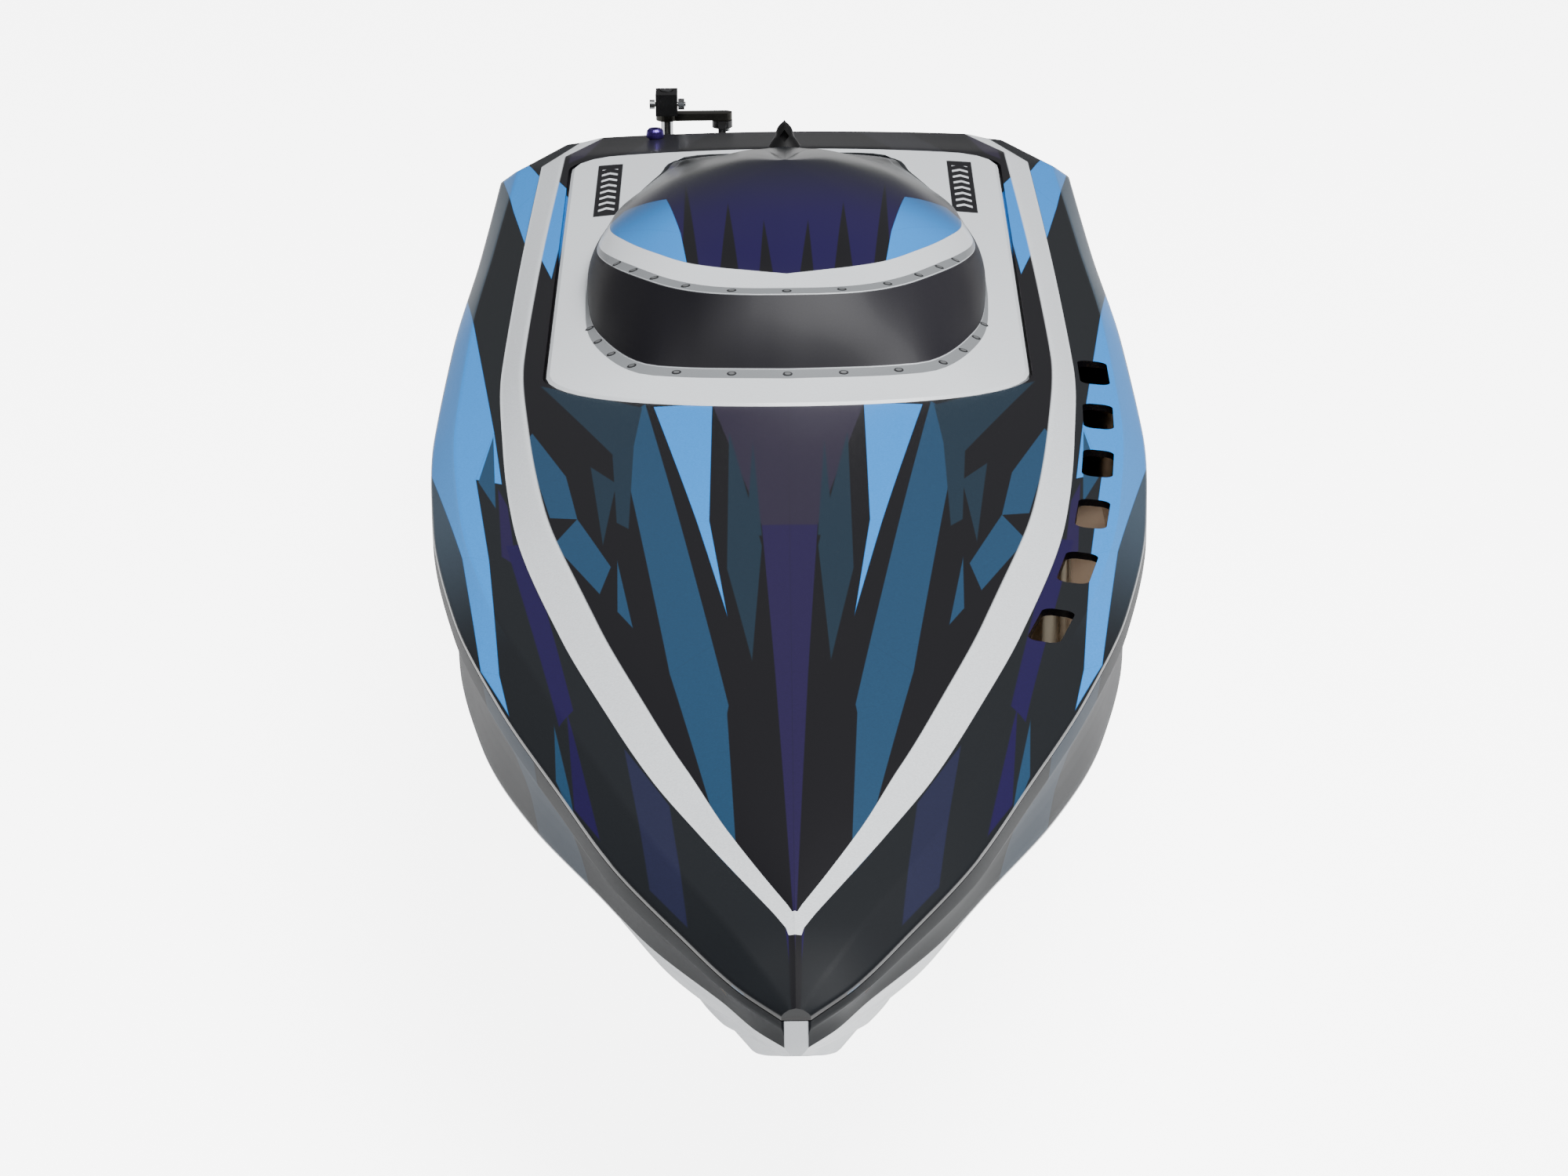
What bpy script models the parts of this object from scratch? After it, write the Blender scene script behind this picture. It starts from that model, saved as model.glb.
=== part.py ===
"""Radio-controlled deep-V racing boat: hull, canopy, running gear and radio gear.

X points to port, Y points aft and Z points up. The flat keel pad lies at z = 0 and the
middle of the hull's length at y = 0. Every size is in metres.
"""

import math

import bmesh
import bpy
from mathutils import Matrix, Vector

# Hull
HULL_LENGTH = 0.900
HULL_BEAM = 0.245
GUNWALE_HEIGHT = 0.092
SHELL_WALL = 0.0022
TRANSOM_WALL = 0.003
RIM_WIDTH = 0.006
DECK_LIP = 0.0015
KEEL_PAD_HALF = 0.012
STRAKE_WIDTH = 0.006
CORNER_CUT_LENGTH = 0.045
CORNER_CUT_WIDTH = 0.017
SOLID_BOW = 0.036
STERN_STRIP = 0.050
STERN_DROP = 0.005
FULL_STEP = 0.025

# Clearances
GAP = 0.0003
FIT = 0.0005
RECESS_GAP = 0.0012

# Hatch, canopy and latch
CANOPY_HALF_WIDTH = 0.0845
CANOPY_LENGTH = 0.3755
CANOPY_NOSE_DEPTH = 0.052
CANOPY_CORNER = 0.018
CANOPY_TO_TRANSOM = 0.054
CANOPY_WALL = 0.0018
HATCH_LEDGE = 0.0125
HATCH_FLOOR = 0.0995
LEDGE_THICKNESS = 0.003
SEAL_THICKNESS = 0.0012
SEAL_WIDTH = 0.005
FLANGE_PROUD = 0.0006
CANOPY_LIFT = 0.090
LATCH_TO_TRANSOM = 0.0735
LATCH_RADIUS = 0.0062
LATCH_HEIGHT = 0.0098
CAM_REACH = 0.0135
CAM_THICKNESS = 0.002
LATCH_STEM = 0.0025

# Flood slots, port side only
SLOT_COUNT = 6
SLOT_LENGTH = 0.030
SLOT_WIDTH = 0.0105
SLOT_PITCH = 0.0548
SLOT_TO_TRANSOM = 0.357
CHAMBER_WALL = 0.002
CHAMBER_CLEARANCE = 0.004

# Drive line
MOTOR_RADIUS = 0.018
MOTOR_LENGTH = 0.074
MOTOR_HEIGHT = 0.032
MOTOR_TO_TRANSOM = 0.160
MOTOR_SHAFT_RADIUS = 0.0025
JACKET_WALL = 0.002
JACKET_LENGTH = 0.040
COUPLER_RADIUS = 0.0065
COUPLER_LENGTH = 0.024
FLEX_RADIUS = 0.0023
TUBE_RADIUS = 0.0034
SHAFT_DEPTH = 0.010
STRUT_LENGTH = 0.026
STRUT_RADIUS = 0.0060
BUSH_RADIUS = 0.0043
PROP_SHAFT_RADIUS = 0.0024
DOG_LENGTH = 0.005
PROP_RADIUS = 0.021
PROP_HUB_RADIUS = 0.0045
PROP_HUB_LENGTH = 0.014
PROP_PITCH = 0.058
NUT_LENGTH = 0.005
PLATE_THICKNESS = 0.0035

# Steering
RUDDER_X = -0.0485
RUDDER_SETBACK = 0.040
RUDDER_POST_RADIUS = 0.0025
RUDDER_CHORD = 0.024
RUDDER_THICKNESS = 0.003
RUDDER_DEPTH = 0.040
BRACKET_LOW = 0.050
BRACKET_HIGH = 0.088
ARM_RADIUS = 0.024
ARM_THICKNESS = 0.003
ROD_HEIGHT = 0.0935
ROD_RADIUS = 0.0010
EYE_RADIUS = 0.0042
EYE_HOLE = 0.0026
EYE_THICKNESS = 0.003
STUD_RADIUS = 0.0011
ROD_OFFSET = 0.0011
SERVO_TO_TRANSOM = 0.130
SERVO_LENGTH = 0.040
SERVO_WIDTH = 0.020
SERVO_TOP = 0.084
SERVO_DEPTH = 0.037

# Power and radio gear
BATTERY_LENGTH = 0.138
BATTERY_WIDTH = 0.044
BATTERY_HEIGHT = 0.025
BATTERY_TO_TRANSOM = 0.250
TRAY_HEIGHT = 0.024
TRAY_THICKNESS = 0.002
STRAP_WIDTH = 0.016
STRAP_THICKNESS = 0.0012
CONTROLLER_SIZE = (0.036, 0.062, 0.022)
RADIO_BOX_SIZE = (0.040, 0.066, 0.026)
GEAR_HEIGHT = 0.034
DRAIN_RADIUS = 0.004
OUTLET_RADIUS = 0.003
BOOT_RADIUS = 0.0031
ANTENNA_STEM = 0.0025

# Trim tabs
TAB_X = 0.076
TAB_WIDTH = 0.034
TAB_LENGTH = 0.030
TAB_THICKNESS = 0.0015
TAB_PIN_RADIUS = 0.0012
TAB_SCREW_RADIUS = 0.0012
TAB_STANDOFF = 0.0040
TAB_RISE = 0.00576

# Lines of the hull: (share of the length from the bow, value). Breadths are shares of half
# the beam and heights are shares of the gunwale height; the rest are metres.
GUNWALE_BREADTH = [
    (0.0, 0.033), (0.022, 0.14), (0.056, 0.26), (0.11, 0.43), (0.167, 0.563), (0.244, 0.73),
    (0.333, 0.873), (0.433, 0.963), (0.544, 1.0), (0.667, 0.992), (0.811, 0.955), (1.0, 0.925),
]
GUNWALE_LINE = [
    (0.0, 0.783), (0.056, 0.832), (0.167, 0.908), (0.278, 0.957), (0.444, 0.99), (0.556, 1.0),
    (0.722, 1.0), (1.0, 0.978),
]
CENTRE_RISE = [
    (0.0, 0.002), (0.056, 0.0075), (0.167, 0.0115), (0.278, 0.014), (0.444, 0.0163),
    (0.556, 0.016), (1.0, 0.0145),
]
CREASE_INSET = [
    (0.0, 0.002), (0.022, 0.008), (0.11, 0.013), (0.244, 0.0135), (0.333, 0.011),
    (0.433, 0.009), (0.544, 0.0075), (0.811, 0.006), (1.0, 0.0075),
]
CREASE_RISE = [(0.0, 0.0015), (0.05, 0.005), (1.0, 0.005)]
STRIPE_FOOT = [
    (0.0, -0.112), (0.039, 0.0), (0.11, 0.204), (0.158, 0.335), (0.217, 0.457), (0.286, 0.58),
    (0.408, 0.735), (0.506, 0.792), (0.609, 0.825), (0.722, 0.82), (1.0, 0.79),
]
STRIPE_WIDTH = [
    (0.0, 0.005), (0.039, 0.005), (0.11, 0.0065), (0.16, 0.010), (0.32, 0.011), (0.41, 0.0095),
    (0.6, 0.007), (1.0, 0.009),
]
CHINE_INSET = [(0.0, 0.001), (0.05, 0.008), (0.15, 0.0105), (0.3, 0.008), (1.0, 0.007)]
CHINE_LINE = [
    (0.0, 0.674), (0.056, 0.63), (0.167, 0.554), (0.278, 0.5), (0.39, 0.467), (0.5, 0.446),
    (0.722, 0.435), (1.0, 0.435),
]
KEEL_LINE = [
    (0.0, 0.652), (0.022, 0.565), (0.078, 0.359), (0.167, 0.152), (0.278, 0.033), (0.389, 0.0), (1.0, 0.0),
]
STRIPE_FOOT_RISE = 0.14
STRIPE_TOP_RISE = 0.61
STATIONS = [
    0.0, 0.008, 0.022, 0.04, 0.06, 0.085, 0.111, 0.14, 0.17, 0.21, 0.25, 0.3, 0.35, 0.41, 0.47,
    0.54, 0.62, 0.7, 0.8, 0.9,
]
THIN = 0.0006
CUT_REACH = 0.040
CONTOUR_STEPS = 24

TRANSOM_Y = HULL_LENGTH / 2
BOW_Y = -HULL_LENGTH / 2
SHAFT_Z = -SHAFT_DEPTH
CANOPY_REAR = TRANSOM_Y - CANOPY_TO_TRANSOM
CANOPY_FRONT = CANOPY_REAR - CANOPY_LENGTH
SEAL_TOP = HATCH_FLOOR + GAP + SEAL_THICKNESS
CANOPY_BOTTOM = SEAL_TOP + GAP
COLLECTIONS = {}
MATERIALS = {}


# ---------------------------------------------------------------- scene helpers


def clear_scene():
    """Remove every object that is already in the scene."""
    for item in list(bpy.data.objects):
        bpy.data.objects.remove(item, do_unlink=True)


def make_collections():
    """Make the collection of parts and the collection of cutters."""
    for key, name in (("parts", "rc_boat"), ("cutters", "rc_boat_cutters")):
        collection = bpy.data.collections.new(name)
        bpy.context.scene.collection.children.link(collection)
        COLLECTIONS[key] = collection


def make_material(name, colour, roughness, metallic=0.0):
    """Make a plain material and keep it by name."""
    material = bpy.data.materials.new(name)
    material.use_nodes = True
    shader = material.node_tree.nodes["Principled BSDF"]
    shader.inputs["Base Color"].default_value = (*colour, 1.0)
    shader.inputs["Roughness"].default_value = roughness
    shader.inputs["Metallic"].default_value = metallic
    MATERIALS[name] = material


def make_materials():
    """Make the materials of the whole boat."""
    make_material("white_gelcoat", (0.78, 0.79, 0.80), 0.25)
    make_material("painted_deck", (0.10, 0.36, 0.78), 0.30)
    make_material("painted_canopy", (0.05, 0.08, 0.28), 0.30)
    make_material("black_plastic", (0.015, 0.015, 0.017), 0.45)
    make_material("aluminium", (0.60, 0.61, 0.63), 0.32, 1.0)
    make_material("steel", (0.62, 0.61, 0.58), 0.22, 1.0)
    make_material("brass", (0.70, 0.50, 0.22), 0.28, 1.0)
    make_material("purple_anodised", (0.16, 0.05, 0.42), 0.30, 0.9)
    make_material("battery_wrap", (0.08, 0.09, 0.11), 0.50)
    make_material("glass_epoxy", (0.30, 0.24, 0.16), 0.55)
    make_material("rubber", (0.02, 0.02, 0.02), 0.80)
    make_material("foam", (0.82, 0.80, 0.74), 0.95)
    make_material("clear_plastic", (0.70, 0.74, 0.78), 0.15)
    make_material("webbing", (0.03, 0.03, 0.035), 0.85)
    make_material("copper_pipe", (0.72, 0.38, 0.22), 0.30, 1.0)


def adopt(item, name, material, group="parts"):
    """Name an object, give it its material and move it to a collection."""
    item.name = name
    item.data.name = name
    if material is not None:
        item.data.materials.clear()
        item.data.materials.append(MATERIALS[material])
    for collection in list(item.users_collection):
        collection.objects.unlink(item)
    COLLECTIONS[group].objects.link(item)
    if group == "cutters":
        item.hide_render = True
        item.display_type = "WIRE"
    return item


def new_object(name, data, material, group="parts"):
    """Make an object from new data."""
    item = bpy.data.objects.new(name, data)
    bpy.context.scene.collection.objects.link(item)
    return adopt(item, name, material, group)


def as_mesh(item):
    """Turn a curve object into a welded mesh object of the same name and place."""
    bpy.context.view_layer.update()
    evaluated = item.evaluated_get(bpy.context.evaluated_depsgraph_get())
    mesh = bpy.data.meshes.new_from_object(evaluated)
    work = bmesh.new()
    work.from_mesh(mesh)
    bmesh.ops.remove_doubles(work, verts=work.verts, dist=0.00002)
    work.to_mesh(mesh)
    work.free()
    name = item.name
    group = "cutters" if COLLECTIONS["cutters"] in item.users_collection else "parts"
    matrix = item.matrix_world.copy()
    material = item.data.materials[0].name if item.data.materials else None
    bpy.data.objects.remove(item, do_unlink=True)
    solid = new_object(name, mesh, material, group)
    solid.matrix_world = matrix
    return solid


def combine(item, other, operation="DIFFERENCE"):
    """Cut, join or intersect an object with another one, which then moves to the cutters."""
    modifier = item.modifiers.new(operation.lower() + "_" + other.name, "BOOLEAN")
    modifier.operation = operation
    modifier.solver = "EXACT"
    modifier.object = other
    adopt(other, other.name, None, "cutters")
    return item


def round_edges(item, width, segments=2, angle=40):
    """Bevel the sharp edges of a mesh object."""
    modifier = item.modifiers.new("round_edges", "BEVEL")
    modifier.width = width
    modifier.segments = segments
    modifier.limit_method = "ANGLE"
    modifier.angle_limit = math.radians(angle)
    return item


def frame_at(origin, direction):
    """A placement whose local Z points along a direction."""
    turn = Vector((0, 0, 1)).rotation_difference(Vector(direction)).to_matrix().to_4x4()
    return Matrix.Translation(Vector(origin)) @ turn


def hang(items, name, origin):
    """Parent objects to a new empty that stands on their joint's axis."""
    empty = bpy.data.objects.new(name, None)
    empty.empty_display_size = 0.01
    empty.location = origin
    COLLECTIONS["parts"].objects.link(empty)
    bpy.context.view_layer.update()
    for item in items:
        item.parent = empty
        item.matrix_parent_inverse = empty.matrix_world.inverted()
    return empty


# ---------------------------------------------------------------- shape helpers


def box(name, size, centre, material, rounding=0.0):
    """A block, with rounded edges if a rounding is given."""
    bpy.ops.mesh.primitive_cube_add(size=1.0, location=centre)
    item = bpy.context.active_object
    item.data.transform(Matrix.Diagonal((*size, 1.0)))
    adopt(item, name, material)
    if rounding:
        round_edges(item, rounding)
    return item


def rod(name, radius, start, end, material, vertices=28):
    """A round bar between two points."""
    start, end = Vector(start), Vector(end)
    bpy.ops.mesh.primitive_cylinder_add(vertices=vertices, radius=radius, depth=(end - start).length)
    item = bpy.context.active_object
    item.matrix_world = frame_at((start + end) / 2, end - start)
    return adopt(item, name, material)


def turned(name, profile, origin, direction, material, steps=32, closed=False):
    """A turned shape from (radius, height) points, listed from its far end back."""
    work = bmesh.new()
    corners = [work.verts.new((radius, 0.0, height)) for radius, height in profile]
    for first, second in zip(corners, corners[1:]):
        work.edges.new((first, second))
    if closed:
        work.edges.new((corners[-1], corners[0]))
    mesh = bpy.data.meshes.new(name)
    work.to_mesh(mesh)
    work.free()
    item = new_object(name, mesh, material)
    item.matrix_world = frame_at(origin, direction)
    modifier = item.modifiers.new("turn", "SCREW")
    modifier.axis = "Z"
    modifier.steps = steps
    modifier.render_steps = steps
    modifier.use_merge_vertices = True
    modifier.merge_threshold = 0.00002
    return item


def ring(name, inner, outer, start, end, origin, direction, material, steps=32):
    """A plain bush or collar between two heights along its axis."""
    profile = [(inner, end), (outer, end), (outer, start), (inner, start)]
    return turned(name, profile, origin, direction, material, steps, closed=True)


def prism(name, outlines, start, end, axis, material, group="parts"):
    """Flat outlines swept along an axis; the first is the edge and the others are holes.

    Outline points are (x, y) for the Z axis, (y, z) for the X axis and (x, z) for the Y axis.
    """
    curve = bpy.data.curves.new(name, "CURVE")
    curve.dimensions = "2D"
    curve.fill_mode = "BOTH"
    curve.extrude = (end - start) / 2
    for outline in outlines:
        spline = curve.splines.new("POLY")
        spline.points.add(len(outline) - 1)
        for point, (across, up) in zip(spline.points, outline):
            point.co = (across, up, 0.0, 1.0)
        spline.use_cyclic_u = True
    item = new_object(name, curve, material, group)
    middle = (start + end) / 2
    if axis == "Z":
        item.location = (0.0, 0.0, middle)
    elif axis == "X":
        item.matrix_world = Matrix(((0, 0, 1, middle), (1, 0, 0, 0), (0, 1, 0, 0), (0, 0, 0, 1)))
    else:
        item.matrix_world = Matrix(((1, 0, 0, 0), (0, 0, -1, middle), (0, 1, 0, 0), (0, 0, 0, 1)))
    return item


def wire(name, points, radius, material, caps=True, sides=2):
    """A round wire or pipe along a smooth curve through a few points."""
    curve = bpy.data.curves.new(name, "CURVE")
    curve.dimensions = "3D"
    curve.bevel_depth = radius
    curve.bevel_resolution = sides
    curve.use_fill_caps = caps
    route = spread(points)
    spline = curve.splines.new("POLY")
    spline.points.add(len(route) - 1)
    for point, place in zip(spline.points, route):
        point.co = (*place, 1.0)
    return new_object(name, curve, material)


def spread(points, steps=6):
    """Points on a smooth curve through the given points."""
    points = [Vector(point) for point in points]
    ends = [2 * points[0] - points[1], *points, 2 * points[-1] - points[-2]]
    route = [points[0]]
    for before, start, end, after in zip(ends, ends[1:], ends[2:], ends[3:]):
        for step in range(1, steps + 1):
            t = step / steps
            bend = (2 * before - 5 * start + 4 * end - after) * t * t
            twist = (3 * start - 3 * end + after - before) * t ** 3
            route.append((2 * start + (end - before) * t + bend + twist) / 2)
    return route


def arc(centre, radius, start, end, steps=12):
    """Points of a circular arc, with its angles in degrees."""
    angles = [math.radians(start + (end - start) * step / steps) for step in range(steps + 1)]
    return [(centre[0] + radius * math.cos(a), centre[1] + radius * math.sin(a)) for a in angles]


def circle(centre, radius, steps=24):
    """Points of a full circle, without a repeated end."""
    return arc(centre, radius, 0, 360, steps)[:-1]


def loft(name, rings, material, group="parts"):
    """A closed solid through rings of equal point counts, with flat ends."""
    work = bmesh.new()
    rows = [[work.verts.new(point) for point in points] for points in rings]
    for near, far in zip(rows, rows[1:]):
        for index in range(len(near)):
            following = (index + 1) % len(near)
            work.faces.new((near[index], near[following], far[following], far[index]))
    work.faces.new(rows[0])
    work.faces.new(rows[-1])
    bmesh.ops.recalc_face_normals(work, faces=work.faces)
    mesh = bpy.data.meshes.new(name)
    work.to_mesh(mesh)
    work.free()
    return new_object(name, mesh, material, group)


# ---------------------------------------------------------------- lines of the hull


def smooth(table, place):
    """Read a table of (place, value) along a curve that never overshoots its points."""
    places = [entry[0] for entry in table]
    values = [entry[1] for entry in table]
    slopes = [(b - a) / (q - p) for p, q, a, b in zip(places, places[1:], values, values[1:])]
    tangents = [slopes[0]]
    for before, after in zip(slopes, slopes[1:]):
        tangents.append(0.0 if before * after <= 0 else 2 * before * after / (before + after))
    tangents.append(slopes[-1])
    place = min(max(place, places[0]), places[-1])
    index = max(i for i in range(len(places) - 1) if places[i] <= place)
    span = places[index + 1] - places[index]
    t = (place - places[index]) / span
    rise = values[index + 1] - values[index]
    start = tangents[index] * span
    end = tangents[index + 1] * span
    bend = (3 * rise - 2 * start - end) * t * t
    return values[index] + start * t + bend + (start + end - 2 * rise) * t ** 3


def share(y):
    """Place along the hull as a share of its length from the bow."""
    return (y - BOW_Y) / HULL_LENGTH


def corner_cut(y):
    """How far the transom corner's chamfer brings the edge in."""
    return CORNER_CUT_WIDTH * max(0.0, 1.0 - (TRANSOM_Y - y) / CORNER_CUT_LENGTH)


def gunwale_breadth(y):
    """Half-breadth at the gunwale."""
    return smooth(GUNWALE_BREADTH, share(y)) * HULL_BEAM / 2 - corner_cut(y)


def gunwale_height(y):
    """Height of the gunwale."""
    return smooth(GUNWALE_LINE, share(y)) * GUNWALE_HEIGHT


def deck_half(y):
    """Half section of the deck's outer surface, from the centre out to the gunwale."""
    t = share(y)
    gunwale = gunwale_breadth(y)
    edge_z = gunwale_height(y)
    crease = gunwale - smooth(CREASE_INSET, t)
    foot = smooth(STRIPE_FOOT, t) * HULL_BEAM / 2 - 0.8 * corner_cut(y)
    foot = max(min(foot, crease - THIN), 2 * THIN)
    top = max(foot - smooth(STRIPE_WIDTH, t), THIN)
    crease_z = edge_z + smooth(CREASE_RISE, t)
    drop = STERN_DROP * max(0.0, 1.0 - (TRANSOM_Y - y) / STERN_STRIP)
    rise = edge_z + smooth(CENTRE_RISE, t) - drop - crease_z
    stepped = min(foot / FULL_STEP, 1.0)
    top_rise = 1 - top / crease + (STRIPE_TOP_RISE - 1 + top / crease) * stepped
    foot_rise = 1 - foot / crease + (STRIPE_FOOT_RISE - 1 + foot / crease) * stepped
    crown = []
    for s in (0.0, 0.35, 0.7, 1.0):
        bend = s + (s * s - s) * stepped
        crown.append((top * s, crease_z + rise * (1 - (1 - top_rise) * bend)))
    foot_z = crease_z + foot_rise * rise
    return crown + [(foot, foot_z), (crease, crease_z), (gunwale, edge_z)]


def deck_height(x, y):
    """Height of the deck's outer surface at a point."""
    half = deck_half(y)
    for (near, near_z), (far, far_z) in zip(half, half[1:]):
        if abs(x) <= far:
            return near_z + (far_z - near_z) * (abs(x) - near) / (far - near)
    return half[-1][1]


def mirrored(y, half, closing=()):
    """A full ring of points at one station, from its half listed from the centre out."""
    port = [Vector((x, y, z)) for x, z in list(half) + list(closing)]
    starboard = [Vector((-point.x, y, point.z)) for point in reversed(port) if point.x > 0.0]
    return port + starboard


def bottom_line(y):
    """Keel height, pad half-width, chine half-breadth and chine height at a station."""
    t = share(y)
    chine = gunwale_breadth(y) - smooth(CHINE_INSET, t)
    keel_z = smooth(KEEL_LINE, t) * GUNWALE_HEIGHT
    chine_z = smooth(CHINE_LINE, t) * GUNWALE_HEIGHT
    return keel_z, min(KEEL_PAD_HALF, 0.4 * chine), chine, chine_z


def hull_half(y):
    """Half section of the hull's outer surface, from the keel out to its rim."""
    keel_z, pad, chine, chine_z = bottom_line(y)
    gunwale = gunwale_breadth(y)
    rim_z = gunwale_height(y) - DECK_LIP - GAP
    half = [(0.0, keel_z), (pad, keel_z)]
    reach = chine - pad
    for place in (0.36, 0.68):
        width = min(STRAKE_WIDTH, 0.12 * reach) / reach
        low_z = keel_z + place * (chine_z - keel_z)
        high_z = keel_z + (place + width) * (chine_z - keel_z)
        outer = pad + (place + width) * reach
        half += [(pad + place * reach, low_z), (outer - THIN / 4, low_z + THIN / 4), (outer, high_z)]
    lip_z = rim_z - min(0.006, 0.25 * (rim_z - chine_z))
    flare = gunwale - chine
    half.append((chine, chine_z))
    half.append((chine + 0.30 * flare, chine_z + 0.45 * (lip_z - chine_z)))
    half.append((chine + 0.58 * flare, chine_z + 0.80 * (lip_z - chine_z)))
    return half + [(gunwale, lip_z), (gunwale, rim_z)]


def inner_floor(x, y):
    """Height of the hull's inner surface over the bottom at a point."""
    keel_z, pad, chine, chine_z = bottom_line(y)
    slope = (chine_z - keel_z) / (chine - pad)
    return keel_z + 1.12 * SHELL_WALL + max(0.0, abs(x) - pad) * slope


def hull_inner(y):
    """Half section of the hull's inner surface, open above the rim."""
    chine, chine_z = bottom_line(y)[2:]
    gunwale = gunwale_breadth(y)
    rim_z = gunwale_height(y) - DECK_LIP
    pad = bottom_line(y)[1]
    side = chine - SHELL_WALL
    half = [(0.0, inner_floor(0.0, y)), (pad, inner_floor(pad, y)), (side, inner_floor(side, y))]
    middle_z = chine_z + 0.5 * (rim_z - chine_z)
    half.append((side + 0.2 * (gunwale - chine), middle_z))
    half.append((gunwale - RIM_WIDTH, rim_z - 0.010))
    return half + [(gunwale - RIM_WIDTH, rim_z + 0.010), (0.0, rim_z + 0.010)]


def deck_inner(y):
    """Half section of the space under the deck, down past its lip."""
    half = deck_half(y)
    wall = SHELL_WALL
    rim = gunwale_breadth(y) - RIM_WIDTH
    under = [(x, z - wall) for x, z in half[:4]]
    foot, crease = half[4], half[5]
    under.append((foot[0] - 0.3 * wall, foot[1] - wall))
    under.append((crease[0] - 0.5 * wall, crease[1] - wall))
    under[-1] = (min(under[-1][0], rim - THIN), under[-1][1])
    under[-2] = (min(under[-2][0], under[-1][0] - THIN), under[-2][1])
    low = half[-1][1] - DECK_LIP - 0.010
    return under + [(rim, half[-1][1] - THIN), (rim, low), (0.0, low)]


def stations(start, end):
    """Hull stations between two places, with the ends and the transom's chamfer among them."""
    places = [BOW_Y + t * HULL_LENGTH for t in STATIONS]
    places.append(TRANSOM_Y - STERN_STRIP)
    places.append(TRANSOM_Y - CORNER_CUT_LENGTH)
    inside = [y for y in sorted(places) if start + 0.001 < y < end - 0.001]
    return [start] + inside + [end]


# ---------------------------------------------------------------- hull, deck and hatch




def hatch_plan(inset, nose_steps=12, corner_steps=5):
    """Outline of the canopy flange, brought in by an inset; it starts at the port rear corner."""
    half = CANOPY_HALF_WIDTH - inset
    rear = CANOPY_REAR - inset
    corner = max(CANOPY_CORNER - inset, 0.004)
    nose_y = CANOPY_FRONT + CANOPY_NOSE_DEPTH
    depth = CANOPY_NOSE_DEPTH - inset
    points = []
    for step in range(2 * nose_steps + 1):
        angle = math.pi * step / (2 * nose_steps)
        points.append((half * math.cos(angle), nose_y - depth * math.sin(angle)))
    points += arc((corner - half, rear - corner), corner, 180, 90, corner_steps)
    points += arc((half - corner, rear - corner), corner, 90, 0, corner_steps)
    return points


def slot_places():
    """Centre, and heading in the deck's plan, of each flood slot."""
    places = []
    for index in range(SLOT_COUNT):
        y = TRANSOM_Y - SLOT_TO_TRANSOM - index * SLOT_PITCH
        middle = [(deck_half(at)[4][0] + deck_half(at)[5][0]) / 2 for at in (y - 0.005, y, y + 0.005)]
        heading = math.atan2(middle[2] - middle[0], 0.010)
        places.append((middle[1], y, heading))
    return places


def capsule(centre, length, width, heading):
    """A slot outline with round ends; its length lies along Y, turned by a heading."""
    reach = (length - width) / 2
    points = arc((0.0, reach), width / 2, 0, 180, 8) + arc((0.0, -reach), width / 2, 180, 360, 8)
    cos, sin = math.cos(heading), math.sin(heading)
    return [(centre[0] + x * cos + y * sin, centre[1] - x * sin + y * cos) for x, y in points]


def round_cutter(name, radius, start, end):
    """A round cutter between two points."""
    return rod(name, radius, start, end, None, 24)


def make_hull():
    """The moulded hull, with holes for everything that passes through it."""
    rings = [mirrored(y, hull_half(y), [(0.0, hull_half(y)[-1][1])]) for y in stations(BOW_Y, TRANSOM_Y)]
    hull = loft("hull_shell", rings, "white_gelcoat")
    inside = stations(BOW_Y + SOLID_BOW, TRANSOM_Y - TRANSOM_WALL)
    cavity = loft("hull_cavity", [mirrored(y, hull_inner(y)) for y in inside], None, "cutters")
    combine(hull, cavity)
    combine(hull, round_cutter("tube_hole", TUBE_RADIUS + FIT, *tube_exit()))
    combine(hull, round_cutter("drain_hole", DRAIN_RADIUS + GAP, *drain_line(-0.010, 0.010)))
    combine(hull, round_cutter("outlet_hole", OUTLET_RADIUS + GAP, *outlet_line(-0.012, 0.010)))
    return hull


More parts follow.
